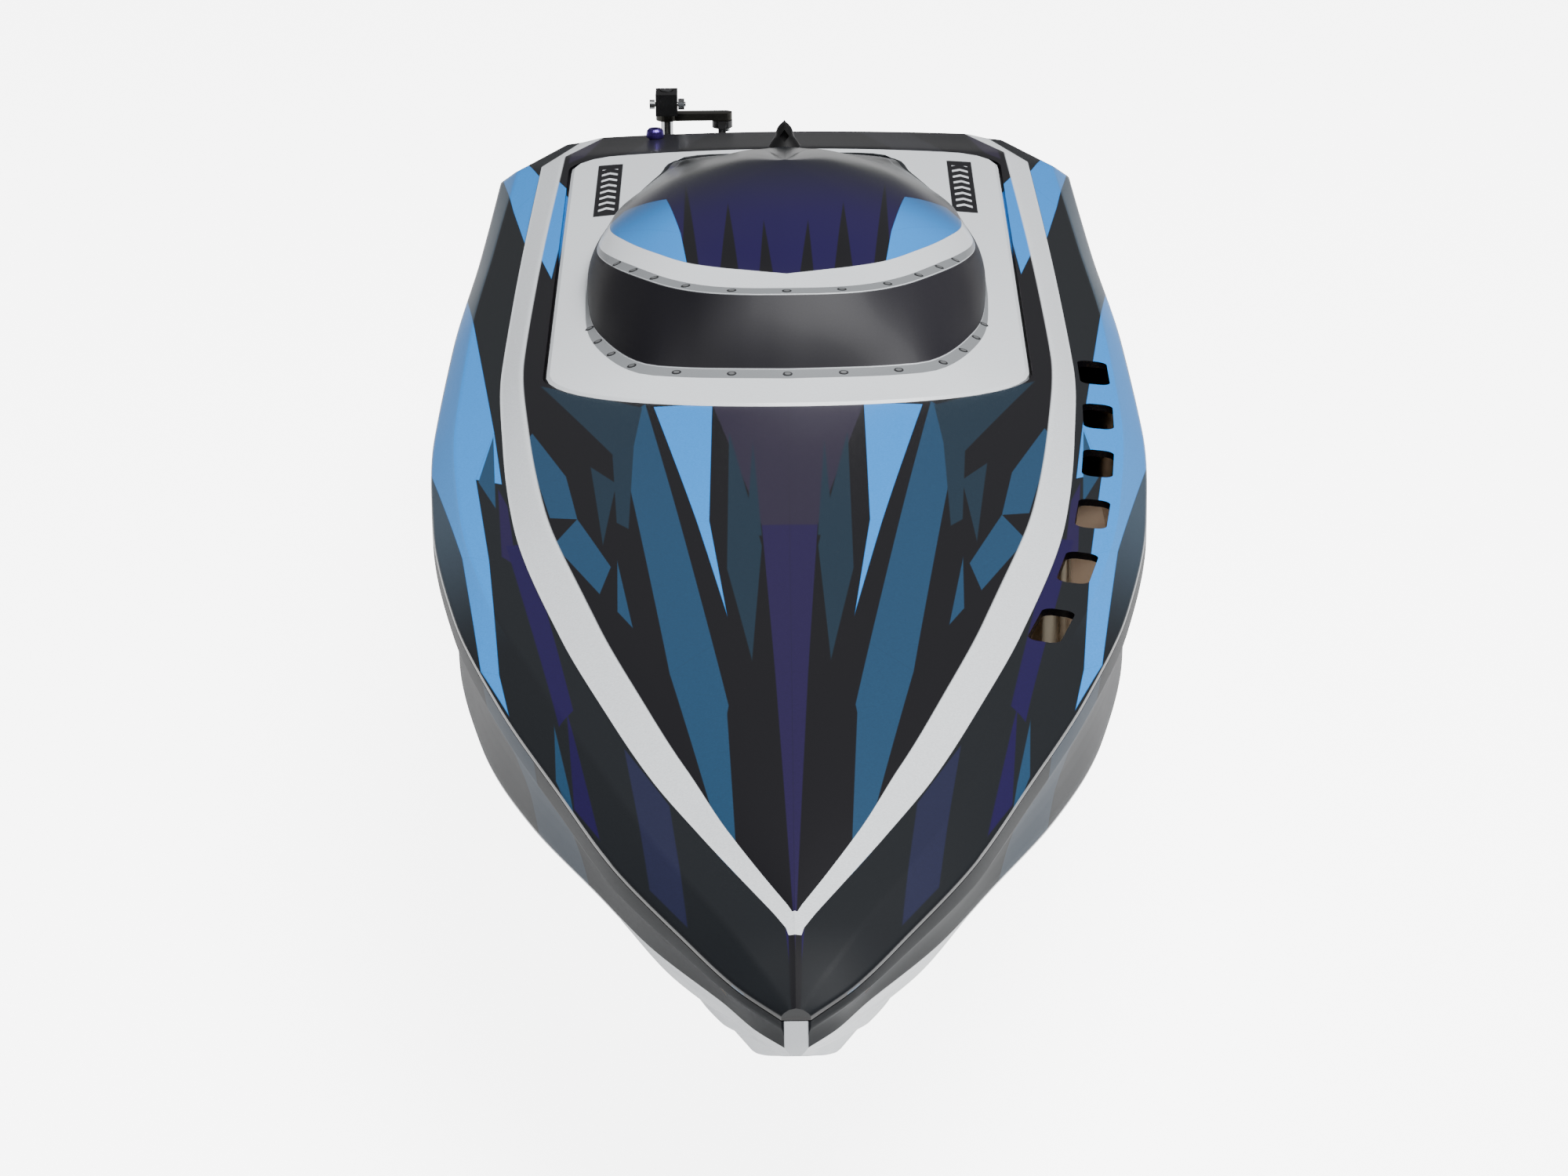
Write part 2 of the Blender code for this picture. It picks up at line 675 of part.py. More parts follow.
def make_deck():
    """The deck moulding, with its hatch, recess, flood slots and rod hole."""
    rings = []
    for y in stations(BOW_Y, TRANSOM_Y):
        low = gunwale_height(y) - DECK_LIP
        rings.append(mirrored(y, deck_half(y), [(gunwale_breadth(y), low), (0.0, low)]))
    deck = loft("deck_shell", rings, "painted_deck")
    inside = stations(BOW_Y + SOLID_BOW, TRANSOM_Y - TRANSOM_WALL)
    space = loft("deck_space", [mirrored(y, deck_inner(y)) for y in inside], None, "cutters")
    ledge_outline = hatch_plan(-RECESS_GAP - LEDGE_THICKNESS)
    low = HATCH_FLOOR - LEDGE_THICKNESS
    ledge = prism("ledge_block", [ledge_outline], low, HATCH_FLOOR + CUT_REACH, "Z", None, "cutters")
    combine(space, as_mesh(ledge))
    combine(deck, space)
    high = HATCH_FLOOR + CUT_REACH
    recess = prism("recess", [hatch_plan(-RECESS_GAP)], HATCH_FLOOR, high, "Z", None, "cutters")
    combine(deck, as_mesh(recess))
    low = HATCH_FLOOR - CUT_REACH
    opening = prism("hatch_opening", [hatch_plan(HATCH_LEDGE)], low, high, "Z", None, "cutters")
    combine(deck, as_mesh(opening))
    for index, (x, y, heading) in enumerate(slot_places(), start=1):
        outline = capsule((x, y), SLOT_LENGTH, SLOT_WIDTH, heading)
        z = deck_height(x, y)
        slot = prism("slot_cutter_%d" % index, [outline], z - 0.012, z + 0.012, "Z", None, "cutters")
        combine(deck, as_mesh(slot))
    hole = [(rod_x(), TRANSOM_Y - 0.012, ROD_HEIGHT), (rod_x(), TRANSOM_Y + 0.004, ROD_HEIGHT)]
    combine(deck, round_cutter("rod_hole", BOOT_RADIUS + GAP, *hole))
    x, y = antenna_place()
    z = deck_height(x, y)
    combine(deck, round_cutter("antenna_hole", ANTENNA_STEM + GAP, (x, y, z - 0.010), (x, y, z + 0.006)))
    return deck


def make_hatch_seal():
    """The flat foam seal between the hatch ledge and the canopy."""
    outlines = [hatch_plan(HATCH_LEDGE - FIT - SEAL_WIDTH), hatch_plan(HATCH_LEDGE - FIT)]
    return prism("hatch_seal", outlines, HATCH_FLOOR + GAP, SEAL_TOP, "Z", "rubber")


def chamber_line(y):
    """Distance from the centre to the outboard face of the flood chamber's wall."""
    places = slot_places()
    y = min(max(y, places[-1][1]), places[0][1])
    middle = (deck_half(y)[4][0] + deck_half(y)[5][0]) / 2
    return middle - SLOT_WIDTH / 2 - CHAMBER_CLEARANCE


def make_flood_chamber():
    """The wall that closes the flood chamber off from the dry hull, on the port side."""
    places = slot_places()
    start = places[-1][1] - SLOT_LENGTH
    end = places[0][1] + SLOT_LENGTH
    rings = []
    for step in range(13):
        y = start + (end - start) * step / 12
        outer = chamber_line(y)
        inner = outer - CHAMBER_WALL
        low = inner_floor(outer, y) + CHAMBER_WALL
        high = min(deck_height(outer, y), deck_height(inner, y)) - 1.6 * SHELL_WALL
        rings.append([Vector((x, y, z)) for x, z in ((inner, low), (outer, low), (outer, high), (inner, high))])
    return loft("flood_chamber_wall", rings, "glass_epoxy")


def make_foam():
    """The flotation block in the bow."""
    start = BOW_Y + 0.110
    end = min(TRANSOM_Y - SLOT_TO_TRANSOM - SLOT_COUNT * SLOT_PITCH - 0.010, -0.215)
    rings = []
    for step in range(7):
        y = start + (end - start) * step / 6
        side = bottom_line(y)[2] - SHELL_WALL - 0.004
        pad = 0.5 * bottom_line(y)[1]
        top = gunwale_height(y) - 0.012
        half = [(0.0, inner_floor(0.0, y) + 0.001), (pad, inner_floor(pad, y) + 0.001)]
        half += [(side, inner_floor(side, y) + 0.0015), (side, top), (0.0, top)]
        rings.append(mirrored(y, half))
    return loft("flotation_foam", rings, "foam")


# Contours of the canopy above its flange: (x, y from the canopy's front, z above the hatch
# floor) from the front centre round the port side to the rear centre.
DRAWN_HALF_WIDTH = 0.0845
DRAWN_LENGTH = 0.3755
COWL_FOOT = [
    (0.0, 0.0245, 0.0110), (0.038, 0.0295, 0.0105), (0.056, 0.0415, 0.0100), (0.0695, 0.0845, 0.0085),
    (0.073, 0.1345, 0.0080), (0.0725, 0.1795, 0.0075), (0.068, 0.2295, 0.0070), (0.060, 0.2795, 0.0065),
    (0.050, 0.3295, 0.0060), (0.041, 0.3600, 0.0055), (0.0, 0.3660, 0.0055),
]
COWL_RING = [
    (0.0, 0.0495, 0.0345), (0.028, 0.0525, 0.0340), (0.047, 0.0815, 0.0315), (0.0615, 0.1145, 0.0275),
    (0.0685, 0.1550, 0.0215), (0.0690, 0.1900, 0.0175), (0.065, 0.2295, 0.0150), (0.057, 0.2795, 0.0120),
    (0.047, 0.3295, 0.0085), (0.039, 0.3580, 0.0065), (0.0, 0.3630, 0.0068),
]
DOME_BASE = [
    (0.0, 0.0745, 0.0350), (0.031, 0.0895, 0.0345), (0.047, 0.1145, 0.0325), (0.0585, 0.1475, 0.0285),
    (0.0650, 0.1825, 0.0240), (0.0625, 0.2295, 0.0195), (0.0535, 0.2795, 0.0150), (0.0435, 0.3295, 0.0100),
    (0.036, 0.3540, 0.0080), (0.0, 0.3600, 0.0083),
]
DOME_SHOULDER = [
    (0.0, 0.1100, 0.0392), (0.020, 0.1200, 0.0387), (0.036, 0.1450, 0.0370), (0.044, 0.1795, 0.0347),
    (0.042, 0.2295, 0.0310), (0.035, 0.2795, 0.0238), (0.027, 0.3200, 0.0165), (0.020, 0.3450, 0.0118),
    (0.0, 0.3500, 0.0118),
]
DOME_CREST = [
    (0.0, 0.1495, 0.0420), (0.012, 0.1595, 0.0417), (0.020, 0.1795, 0.0410), (0.020, 0.2195, 0.0390),
    (0.017, 0.2595, 0.0325), (0.012, 0.2995, 0.0245), (0.008, 0.3245, 0.0185), (0.0, 0.3295, 0.0182),
]


def even_points(route, count):
    """A route of points resampled at even distances."""
    lengths = [0.0]
    for start, end in zip(route, route[1:]):
        lengths.append(lengths[-1] + (end - start).length)
    result = []
    index = 0
    for step in range(count + 1):
        target = lengths[-1] * step / count
        while index < len(route) - 2 and lengths[index + 1] < target:
            index += 1
        span = lengths[index + 1] - lengths[index]
        result.append(route[index].lerp(route[index + 1], (target - lengths[index]) / span))
    return result


def contour(table, inset=0.0, drop=0.0):
    """A closed ring on the canopy from one contour's table, brought in and down if wanted."""
    across = CANOPY_HALF_WIDTH / DRAWN_HALF_WIDTH
    along = CANOPY_LENGTH / DRAWN_LENGTH
    route = []
    for x, y, z in table:
        route.append(Vector((x * across, CANOPY_FRONT + y * along, HATCH_FLOOR + z)))
    half = even_points(spread(route), CONTOUR_STEPS)
    middle = (half[0].y + half[-1].y) / 2
    reach = (half[-1].y - half[0].y) / 2
    width = max(point.x for point in half)
    for point in half:
        point.x = max(point.x, 0.0) * (1 - inset / width)
        point.y = middle + (point.y - middle) * (1 - inset / reach)
        point.z -= drop
    half[0].x = 0.0
    half[-1].x = 0.0
    other = [Vector((-point.x, point.y, point.z)) for point in reversed(half[1:-1])]
    return half + other


def plan_ring(inset, height):
    """A ring on the flange's outline; height is a number, or a function of x and y."""
    outline = [Vector((x, y, 0.0)) for x, y in hatch_plan(inset)]
    port = [Vector((abs(p.x), p.y, 0.0)) for p in outline[:13]]
    rear = [Vector((p.x, p.y, 0.0)) for p in outline[-6:]]
    half = [Vector((0.0, port[-1].y, 0.0))] + list(reversed(port[:-1])) + list(reversed(rear))
    half.append(Vector((0.0, rear[0].y, 0.0)))
    half = even_points(half, CONTOUR_STEPS)
    ring_points = half + [Vector((-p.x, p.y, 0.0)) for p in reversed(half[1:-1])]
    for point in ring_points:
        point.z = height(point.x, point.y) if callable(height) else height
    return ring_points


def make_canopy():
    """The lift-off canopy: flange, windshield band and dome as one moulding."""
    wall = CANOPY_WALL

    def on_deck(x, y):
        return deck_height(x, y) + FLANGE_PROUD

    rings = [
        plan_ring(0.0, CANOPY_BOTTOM),
        plan_ring(0.0, on_deck),
        contour(COWL_FOOT),
        contour(COWL_RING),
        contour(DOME_BASE),
        contour(DOME_SHOULDER),
        contour(DOME_CREST),
    ]
    inner = [
        contour(DOME_CREST, wall, 1.3 * wall),
        contour(DOME_SHOULDER, wall, 1.3 * wall),
        contour(DOME_BASE, wall, 1.2 * wall),
        contour(COWL_RING, 1.3 * wall, wall),
        contour(COWL_FOOT, 1.3 * wall, wall),
        plan_ring(HATCH_LEDGE + FIT + wall, CANOPY_BOTTOM),
    ]
    work = bmesh.new()
    rows = [[work.verts.new(point) for point in points] for points in rings + inner]
    outer_count = len(rings)
    for number, (near, far) in enumerate(zip(rows, rows[1:])):
        if number == outer_count - 1:
            continue
        bridge(work, near, far)
    bridge(work, rows[-1], rows[0])
    for row, height in ((rows[outer_count - 1], 0.0425), (rows[outer_count], 0.0425 - 1.4 * wall)):
        middle = CANOPY_FRONT + CANOPY_LENGTH * 0.56
        peak = work.verts.new((0.0, middle, HATCH_FLOOR + height))
        for first, second in zip(row, row[1:] + row[:1]):
            work.faces.new((first, second, peak))
    bmesh.ops.recalc_face_normals(work, faces=work.faces)
    mesh = bpy.data.meshes.new("canopy_shell")
    work.to_mesh(mesh)
    work.free()
    canopy = new_object("canopy_shell", mesh, "painted_canopy")
    x, y, z = latch_place()
    combine(canopy, round_cutter("latch_hole", LATCH_STEM + FIT, (x, y, z - 0.020), (x, y, z + 0.010)))
    return canopy


def bridge(work, near, far):
    """Join two rings of a mesh with quads."""
    count = len(near)
    for index in range(count):
        following = (index + 1) % count
        work.faces.new((near[index], near[following], far[following], far[index]))


# ---------------------------------------------------------------- canopy latch




def latch_place():
    """Foot of the latch knob, on the canopy's tail."""
    return 0.0, TRANSOM_Y - LATCH_TO_TRANSOM, HATCH_FLOOR + 0.0120


def make_latch():
    """The quarter-turn latch: a finned knob above and a cam below, on one stem."""
    x, y, z = latch_place()
    low = HATCH_FLOOR - LEDGE_THICKNESS - 0.001
    profile = [
        (0.0, LATCH_HEIGHT), (0.0012, LATCH_HEIGHT), (0.0022, 0.65 * LATCH_HEIGHT),
        (0.0030, 0.35 * LATCH_HEIGHT), (LATCH_RADIUS, 0.0012), (LATCH_RADIUS, 0.0),
        (LATCH_STEM, 0.0), (LATCH_STEM, low + GAP - z), (0.0, low + GAP - z),
    ]
    knob = turned("latch_knob", profile, (x, y, z), (0, 0, 1), "black_plastic")
    cheeks = prism(
        "latch_fin",
        [[(-LATCH_RADIUS, 0.0005), (LATCH_RADIUS, 0.0005), (0.0016, LATCH_HEIGHT), (-0.0016, LATCH_HEIGHT)]],
        -0.0015, 0.0015, "Y", None, "cutters",
    )
    cheeks = as_mesh(cheeks)
    cheeks.location = (x, y, z)
    combine(knob, cheeks, "UNION")
    outline = arc((x, y), 0.004, 90, 270) + arc((x + CAM_REACH - 0.003, y), 0.003, -90, 90)
    cam = prism("latch_cam", [outline, circle((x, y), 0.0010, 16)], low - CAM_THICKNESS, low, "Z", "steel")
    hang([knob, cam], "latch_axis", (x, y, z))


# ---------------------------------------------------------------- drive line




def tube_route():
    """Places along the middle of the stuffing tube, from the coupler to the strut."""
    coupler_end = motor_end() + COUPLER_LENGTH + 0.0095
    run = TRANSOM_Y + PLATE_THICKNESS - coupler_end
    drop = MOTOR_HEIGHT - SHAFT_Z
    places = [(0.0, 0.0), (0.16, 0.03), (0.42, 0.34), (0.68, 0.76), (0.88, 0.97), (1.0, 1.0)]
    return [(0.0, coupler_end + run * u, MOTOR_HEIGHT - drop * v) for u, v in places]


def tube_exit():
    """A straight line through the hull's bottom where the tube leaves it."""
    places = [place for place in spread(tube_route()) if -0.006 < place.z < 0.008]
    middle = places[len(places) // 2]
    heading = (places[-1] - places[0]).normalized() * 0.040
    return middle - heading, middle + heading


def motor_end():
    """Rear face of the motor can."""
    return TRANSOM_Y - MOTOR_TO_TRANSOM


def make_motor():
    """The motor, its water jacket, mount, shaft and coupler."""
    end = motor_end()
    start = end - MOTOR_LENGTH
    aft = (0, 1, 0)
    bore = MOTOR_SHAFT_RADIUS + FIT
    lip = MOTOR_RADIUS - 0.004
    can = [
        (0.0, -0.010), (bore, -0.010), (bore, 0.0), (lip, 0.0), (MOTOR_RADIUS, -0.003),
        (MOTOR_RADIUS, 0.003 - MOTOR_LENGTH), (lip, -MOTOR_LENGTH), (0.0, -MOTOR_LENGTH),
    ]
    turned("motor_can", can, (0, end, MOTOR_HEIGHT), aft, "steel")
    inner = MOTOR_RADIUS + GAP
    middle = start + 0.45 * MOTOR_LENGTH
    half = JACKET_LENGTH / 2
    ring("cooling_jacket", inner, inner + JACKET_WALL, -half, half, (0, middle, MOTOR_HEIGHT), aft, "purple_anodised")
    plate_y = end + GAP
    outline = []
    half_width = 0.040
    for x in (-half_width, -KEEL_PAD_HALF, KEEL_PAD_HALF, half_width):
        outline.append((x, inner_floor(x, plate_y) + FIT))
    outline += [(half_width, MOTOR_HEIGHT - 0.004), (0.018, MOTOR_HEIGHT + 0.016)]
    outline += [(-0.018, MOTOR_HEIGHT + 0.016), (-half_width, MOTOR_HEIGHT - 0.004)]
    hole = circle((0.0, MOTOR_HEIGHT), COUPLER_RADIUS + 0.001)
    prism("motor_mount", [outline, hole], plate_y, plate_y + PLATE_THICKNESS, "Y", "aluminium")
    shaft_end = end + 0.018
    shaft = rod("motor_shaft", MOTOR_SHAFT_RADIUS, (0, end - 0.0095, MOTOR_HEIGHT), (0, shaft_end, MOTOR_HEIGHT), "steel")
    coupler_start = end + 0.008
    coupler = ring(
        "shaft_coupler", MOTOR_SHAFT_RADIUS + GAP, COUPLER_RADIUS, 0.0, COUPLER_LENGTH,
        (0, coupler_start, MOTOR_HEIGHT), aft, "aluminium", 24,
    )
    hang([shaft, coupler], "motor_axis", (0, end, MOTOR_HEIGHT))


def make_shaft_line():
    """The stuffing tube with the flexible shaft inside it."""
    route = tube_route()
    tube = wire("stuffing_tube", route, TUBE_RADIUS, "brass", caps=False, sides=3)
    tube = as_mesh(tube)
    wall = tube.modifiers.new("wall", "SOLIDIFY")
    wall.thickness = 0.0006
    wall.offset = -1.0
    first = (0.0, motor_end() + 0.018 + 0.0006, MOTOR_HEIGHT)
    last = (0.0, prop_shaft_start() - GAP, SHAFT_Z)
    wire("flex_shaft", [first] + list(route) + [last], FLEX_RADIUS, "steel", sides=3)


def prop_shaft_start():
    """Front end of the propeller shaft."""
    return TRANSOM_Y + PLATE_THICKNESS + 0.005


def strut_span():
    """Front and rear ends of the strut's barrel."""
    start = TRANSOM_Y + PLATE_THICKNESS + 0.0012
    return start, start + STRUT_LENGTH


def make_strut():
    """The drive strut on the transom, with its bush."""
    start, end = strut_span()
    barrel = ring("drive_strut", BUSH_RADIUS + GAP, STRUT_RADIUS, 0.0, end - start, (0, start, SHAFT_Z), (0, 1, 0), "aluminium")
    plate_y = TRANSOM_Y + GAP
    foot = inner_floor(0.0, TRANSOM_Y) + 0.004
    web_low = SHAFT_Z + (BUSH_RADIUS + GAP + STRUT_RADIUS) / 2
    outline = [
        (plate_y, foot), (plate_y, foot + 0.034), (plate_y + PLATE_THICKNESS, foot + 0.034),
        (plate_y + PLATE_THICKNESS, foot + 0.006), (end - 0.006, web_low),
        (start + 0.002, web_low), (plate_y + PLATE_THICKNESS - 0.001, foot - 0.003),
    ]
    web = prism("strut_web", [outline], -0.0025, 0.0025, "X", None, "cutters")
    combine(barrel, as_mesh(web), "UNION")
    half = 0.013
    flat = [(-half, foot), (half, foot), (half, foot + 0.032), (-half, foot + 0.032)]
    plate = prism("strut_plate", [flat], plate_y, plate_y + PLATE_THICKNESS, "Y", None, "cutters")
    combine(barrel, as_mesh(plate), "UNION")
    ring(
        "strut_bush", PROP_SHAFT_RADIUS + GAP, BUSH_RADIUS, 0.001, end - start - 0.001,
        (0, start, SHAFT_Z), (0, 1, 0), "brass",
    )


def blade_sections(turn):
    """Sections of one propeller blade, from inside the hub out to the tip."""
    rings = []
    for step in range(8):
        out = step / 7
        radius = 0.8 * PROP_HUB_RADIUS + out * (PROP_RADIUS - 0.8 * PROP_HUB_RADIUS)
        pitch = math.atan2(PROP_PITCH, 2 * math.pi * max(radius, PROP_HUB_RADIUS))
        chord = 0.0125 * math.sin(math.pi * (0.22 + 0.70 * out)) + 0.0015
        thick = 0.0016 * (1 - 0.65 * out)
        ring_points = []
        for along, up in ((-0.5, 0.0), (-0.2, 0.5), (0.2, 0.5), (0.5, 0.1), (0.5, -0.1), (0.2, -0.5), (-0.2, -0.5)):
            run = along * chord
            rise = up * thick
            across = run * math.cos(pitch) - rise * math.sin(pitch)
            aft = run * math.sin(pitch) + rise * math.cos(pitch)
            angle = turn + across / max(radius, 0.004)
            ring_points.append(Vector((radius * math.cos(angle), aft, radius * math.sin(angle))))
        rings.append(ring_points)
    return rings


def make_propeller():
    """The propeller shaft, drive dog, two-blade propeller and nut."""
    aft = (0, 1, 0)
    start = prop_shaft_start()
    dog_start = strut_span()[1] + GAP
    hub_start = dog_start + DOG_LENGTH + GAP
    nut_start = hub_start + PROP_HUB_LENGTH + GAP
    end = nut_start + NUT_LENGTH + 0.002
    bore = PROP_SHAFT_RADIUS + GAP
    shaft = rod("propeller_shaft", PROP_SHAFT_RADIUS, (0, start, SHAFT_Z), (0, end, SHAFT_Z), "steel")
    dog = ring("drive_dog", bore, PROP_HUB_RADIUS, 0.0, DOG_LENGTH, (0, dog_start, SHAFT_Z), aft, "brass", 24)
    hub = ring("propeller", bore, PROP_HUB_RADIUS, 0.0, PROP_HUB_LENGTH, (0, hub_start, SHAFT_Z), aft, "brass", 32)
    middle = Vector((0, hub_start + PROP_HUB_LENGTH / 2, SHAFT_Z))
    for number in range(2):
        sections = [[point + middle for point in points] for points in blade_sections(math.pi * (0.5 + number))]
        blade = loft("blade_%d" % (number + 1), sections, None, "cutters")
        combine(hub, blade, "UNION")
    nut = ring("propeller_nut", bore / math.cos(math.pi / 6), 0.0044, 0.0, NUT_LENGTH, (0, nut_start, SHAFT_Z), aft, "steel", 6)
    hang([shaft, dog, hub, nut], "propeller_axis", (0, start, SHAFT_Z))


# ---------------------------------------------------------------- steering


def rudder_y():
    """Place of the rudder's axis along the boat."""
    return TRANSOM_Y + RUDDER_SETBACK


def rod_x():
    """Side place of the pushrod, midway through the ball stud's swing."""
    return RUDDER_X + ARM_RADIUS - ROD_OFFSET


def stud_x():
    """Side place of the ball stud at rest."""
    return RUDDER_X + ARM_RADIUS


def arm_bottom():
    """Underside of the steering arm and of the servo horn's counterpart."""
    return ROD_HEIGHT + EYE_THICKNESS / 2 + GAP


def make_rudder_bracket():
    """The bracket that holds the rudder's axis off the transom."""
    y = rudder_y()
    plate_y = TRANSOM_Y + GAP
    bar = 0.0048
    barrel = 0.0055
    half = 0.014
    outline = [
        (RUDDER_X - half, plate_y), (RUDDER_X + half, plate_y), (RUDDER_X + half, plate_y + PLATE_THICKNESS),
        (RUDDER_X + bar, plate_y + PLATE_THICKNESS),
    ]
    spread_angle = math.degrees(math.asin(bar / barrel))
    outline += arc((RUDDER_X, y), barrel, spread_angle - 90, 270 - spread_angle, 18)
    outline += [(RUDDER_X - bar, plate_y + PLATE_THICKNESS), (RUDDER_X - half, plate_y + PLATE_THICKNESS)]
    hole = circle((RUDDER_X, y), RUDDER_POST_RADIUS + FIT)
    prism("rudder_bracket", [outline, hole], BRACKET_LOW, BRACKET_HIGH, "Z", "aluminium")




def make_rudder():
    """The rudder: post, blade, steering arm, clamp and ball stud."""
    y = rudder_y()
    x = RUDDER_X
    head_top = BRACKET_LOW - GAP
    head_low = head_top - 0.014
    low = arm_bottom()
    collar_low = low + ARM_THICKNESS + GAP
    collar_high = collar_low + 0.009
    bore = RUDDER_POST_RADIUS + GAP
    post = rod("rudder_post", RUDDER_POST_RADIUS, (x, y, head_top + GAP), (x, y, collar_high + 0.0005), "steel")
    head = box("rudder_head", (0.011, 0.018, head_top - head_low), (x, y + 0.002, (head_top + head_low) / 2), "aluminium", 0.001)
    blade_top = head_low - GAP
    nose = y - 0.3 * RUDDER_CHORD
    tail = nose + RUDDER_CHORD
    outline = [
        (nose, blade_top), (tail, blade_top), (tail + 0.002, 0.2 * blade_top), (tail - 0.002, -RUDDER_DEPTH),
        (nose + 0.004, -RUDDER_DEPTH), (nose, -RUDDER_DEPTH + 0.010),
    ]
    half = RUDDER_THICKNESS / 2
    blade = prism("rudder_blade", [outline], x - half, x + half, "X", "aluminium")
    web = 0.0045
    reach = ARM_RADIUS
    lift = math.degrees(math.asin(0.003 / web))
    outline = arc((x, y), web, lift, 360 - lift, 18) + arc((x + reach, y), 0.003, -90, 90, 8)
    arm = prism("steering_arm", [outline, circle((x, y), bore, 20)], low, low + ARM_THICKNESS, "Z", "aluminium")
    collar = prism(
        "clamp_block",
        [[(x - 0.0045, y - 0.008), (x + 0.0045, y - 0.008), (x + 0.0045, y + 0.0045), (x - 0.0045, y + 0.0045)],
         circle((x, y), bore, 20)],
        collar_low, collar_high, "Z", "aluminium",
    )
    collar = as_mesh(collar)
    bolt_y = y - 0.0055
    bolt_z = (collar_low + collar_high) / 2
    combine(collar, round_cutter("bolt_hole", 0.0010 + GAP, (x - 0.010, bolt_y, bolt_z), (x + 0.010, bolt_y, bolt_z)))
    face = 0.0045 + GAP
    profile = [
        (0.0, 2 * face + 0.0032), (0.0010, 2 * face + 0.0032), (0.0010, 0.0),
        (0.0020, 0.0), (0.0020, -0.0022), (0.0, -0.0022),
    ]
    bolt = turned("clamp_bolt", profile, (x - face, bolt_y, bolt_z), (1, 0, 0), "steel", 16)
    nut = ring("lock_nut", 0.0010 + GAP, 0.0024, 0.0, 0.0026, (x + face, bolt_y, bolt_z), (1, 0, 0), "steel", 6)
    under = -EYE_THICKNESS - 3 * GAP
    stud = [
        (0.0, -GAP), (STUD_RADIUS, -GAP), (STUD_RADIUS, under), (0.0020, under),
        (0.0020, under - 0.0010), (0.0, under - 0.0016),
    ]
    stud = turned("ball_stud", stud, (stud_x(), y, low), (0, 0, 1), "steel", 16)
    hang([post, head, blade, arm, collar, bolt, nut, stud], "rudder_axis", (x, y, 0.0))


def servo_y():
    """Place of the servo's output axis along the boat."""
    return TRANSOM_Y - SERVO_TO_TRANSOM


def make_pushrod():
    """The pushrod, with an eye at the servo and an eye at the rudder."""
    pieces = []
    x = rod_x()
    half = EYE_THICKNESS / 2
    for name, y, heading in (("ball_link", rudder_y(), -1), ("servo_link", servo_y(), 1)):
        start_angle = -68 if heading < 0 else 112
        eye = arc((x, y), EYE_RADIUS, start_angle, start_angle + 316, 20)
        end = y + heading * 0.016
        shank = [(x - heading * 0.0016, end), (x + heading * 0.0016, end)]
        outline = eye + shank[::-1]
        link = prism(name, [outline, circle((x, y), EYE_HOLE, 20)], ROD_HEIGHT - half, ROD_HEIGHT + half, "Z", "black_plastic")
        pieces.append(link)
    start = servo_y() + 0.016 + GAP
    end = rudder_y() - 0.016 - GAP
    pieces.append(rod("pushrod", ROD_RADIUS, (x, start, ROD_HEIGHT), (x, end, ROD_HEIGHT), "steel", 16))
    hang(pieces, "pushrod_line", (x, servo_y(), ROD_HEIGHT))
    boot = [(ROD_RADIUS + 0.0004, 0.006)]
    boot += [(BOOT_RADIUS - 0.0003 * (i % 2), 0.006 - 0.001 * i) for i in range(0, 4)]
    boot += [(BOOT_RADIUS, -0.0036), (ROD_RADIUS + 0.0004, -0.0036)]
    turned("pushrod_boot", boot, (x, TRANSOM_Y + 0.0005, ROD_HEIGHT), (0, 1, 0), "rubber", 20, closed=True)


def make_servo():
    """The steering servo, its mount, and the horn with its screw."""
    x = RUDDER_X
    axis_y = servo_y()
    front = axis_y - 0.010
    rear = front + SERVO_LENGTH
    ear_z = SERVO_TOP - 0.016
    bottom = SERVO_TOP - SERVO_DEPTH
    ear = 0.007
    outline = [
        (front, bottom), (rear, bottom), (rear, ear_z), (rear + ear, ear_z), (rear + ear, ear_z + 0.0026),
        (rear, ear_z + 0.0026), (rear, SERVO_TOP), (front, SERVO_TOP), (front, ear_z + 0.0026),
        (front - ear, ear_z + 0.0026), (front - ear, ear_z), (front, ear_z),
    ]
    half = SERVO_WIDTH / 2
    prism("servo_case", [outline], x - half, x + half, "X", "black_plastic")
    side = x - 0.009
    base = max(inner_floor(side, front - ear), inner_floor(side, rear + ear)) + FIT
    top = ear_z - GAP
    outline = [
        (front - ear, base), (rear + ear, base), (rear + ear, top), (rear + 0.001, top),
        (rear + 0.001, base + 0.003), (front - 0.001, base + 0.003), (front - 0.001, top), (front - ear, top),
    ]
    prism("servo_mount", [outline], x - 0.009, x + 0.009, "X", "glass_epoxy")
    horn_top = ROD_HEIGHT - EYE_THICKNESS / 2 - GAP
    hub_low = SERVO_TOP + GAP
    arm_low = horn_top - 0.0022
    web = 0.0040
    lift = math.degrees(math.asin(0.0026 / web))
    reach = ARM_RADIUS
    outline = arc((x, axis_y), web, lift, 360 - lift, 18) + arc((x + reach, axis_y), 0.0026, -90, 90, 8)
    horn = as_mesh(prism("servo_horn", [outline], arm_low, horn_top, "Z", "black_plastic"))
    spline = rod("horn_hub", 0.0036, (x, axis_y, hub_low), (x, axis_y, arm_low + 0.001), None, 20)
    combine(horn, spline, "UNION")
    screw = [(0.0, 0.0018), (0.0012, 0.0018), (0.0020, 0.0010), (0.0020, 0.0), (0.0, 0.0)]
    screw = turned("horn_screw", screw, (x, axis_y, horn_top + GAP), (0, 0, 1), "steel", 16)
    pin_low = horn_top + GAP
    pin = rod("horn_pin", STUD_RADIUS, (stud_x(), axis_y, pin_low), (stud_x(), axis_y, pin_low + EYE_THICKNESS + 0.001), "steel", 16)
    hang([horn, screw, pin], "servo_axis", (x, axis_y, SERVO_TOP))


# ---------------------------------------------------------------- power and radio gear


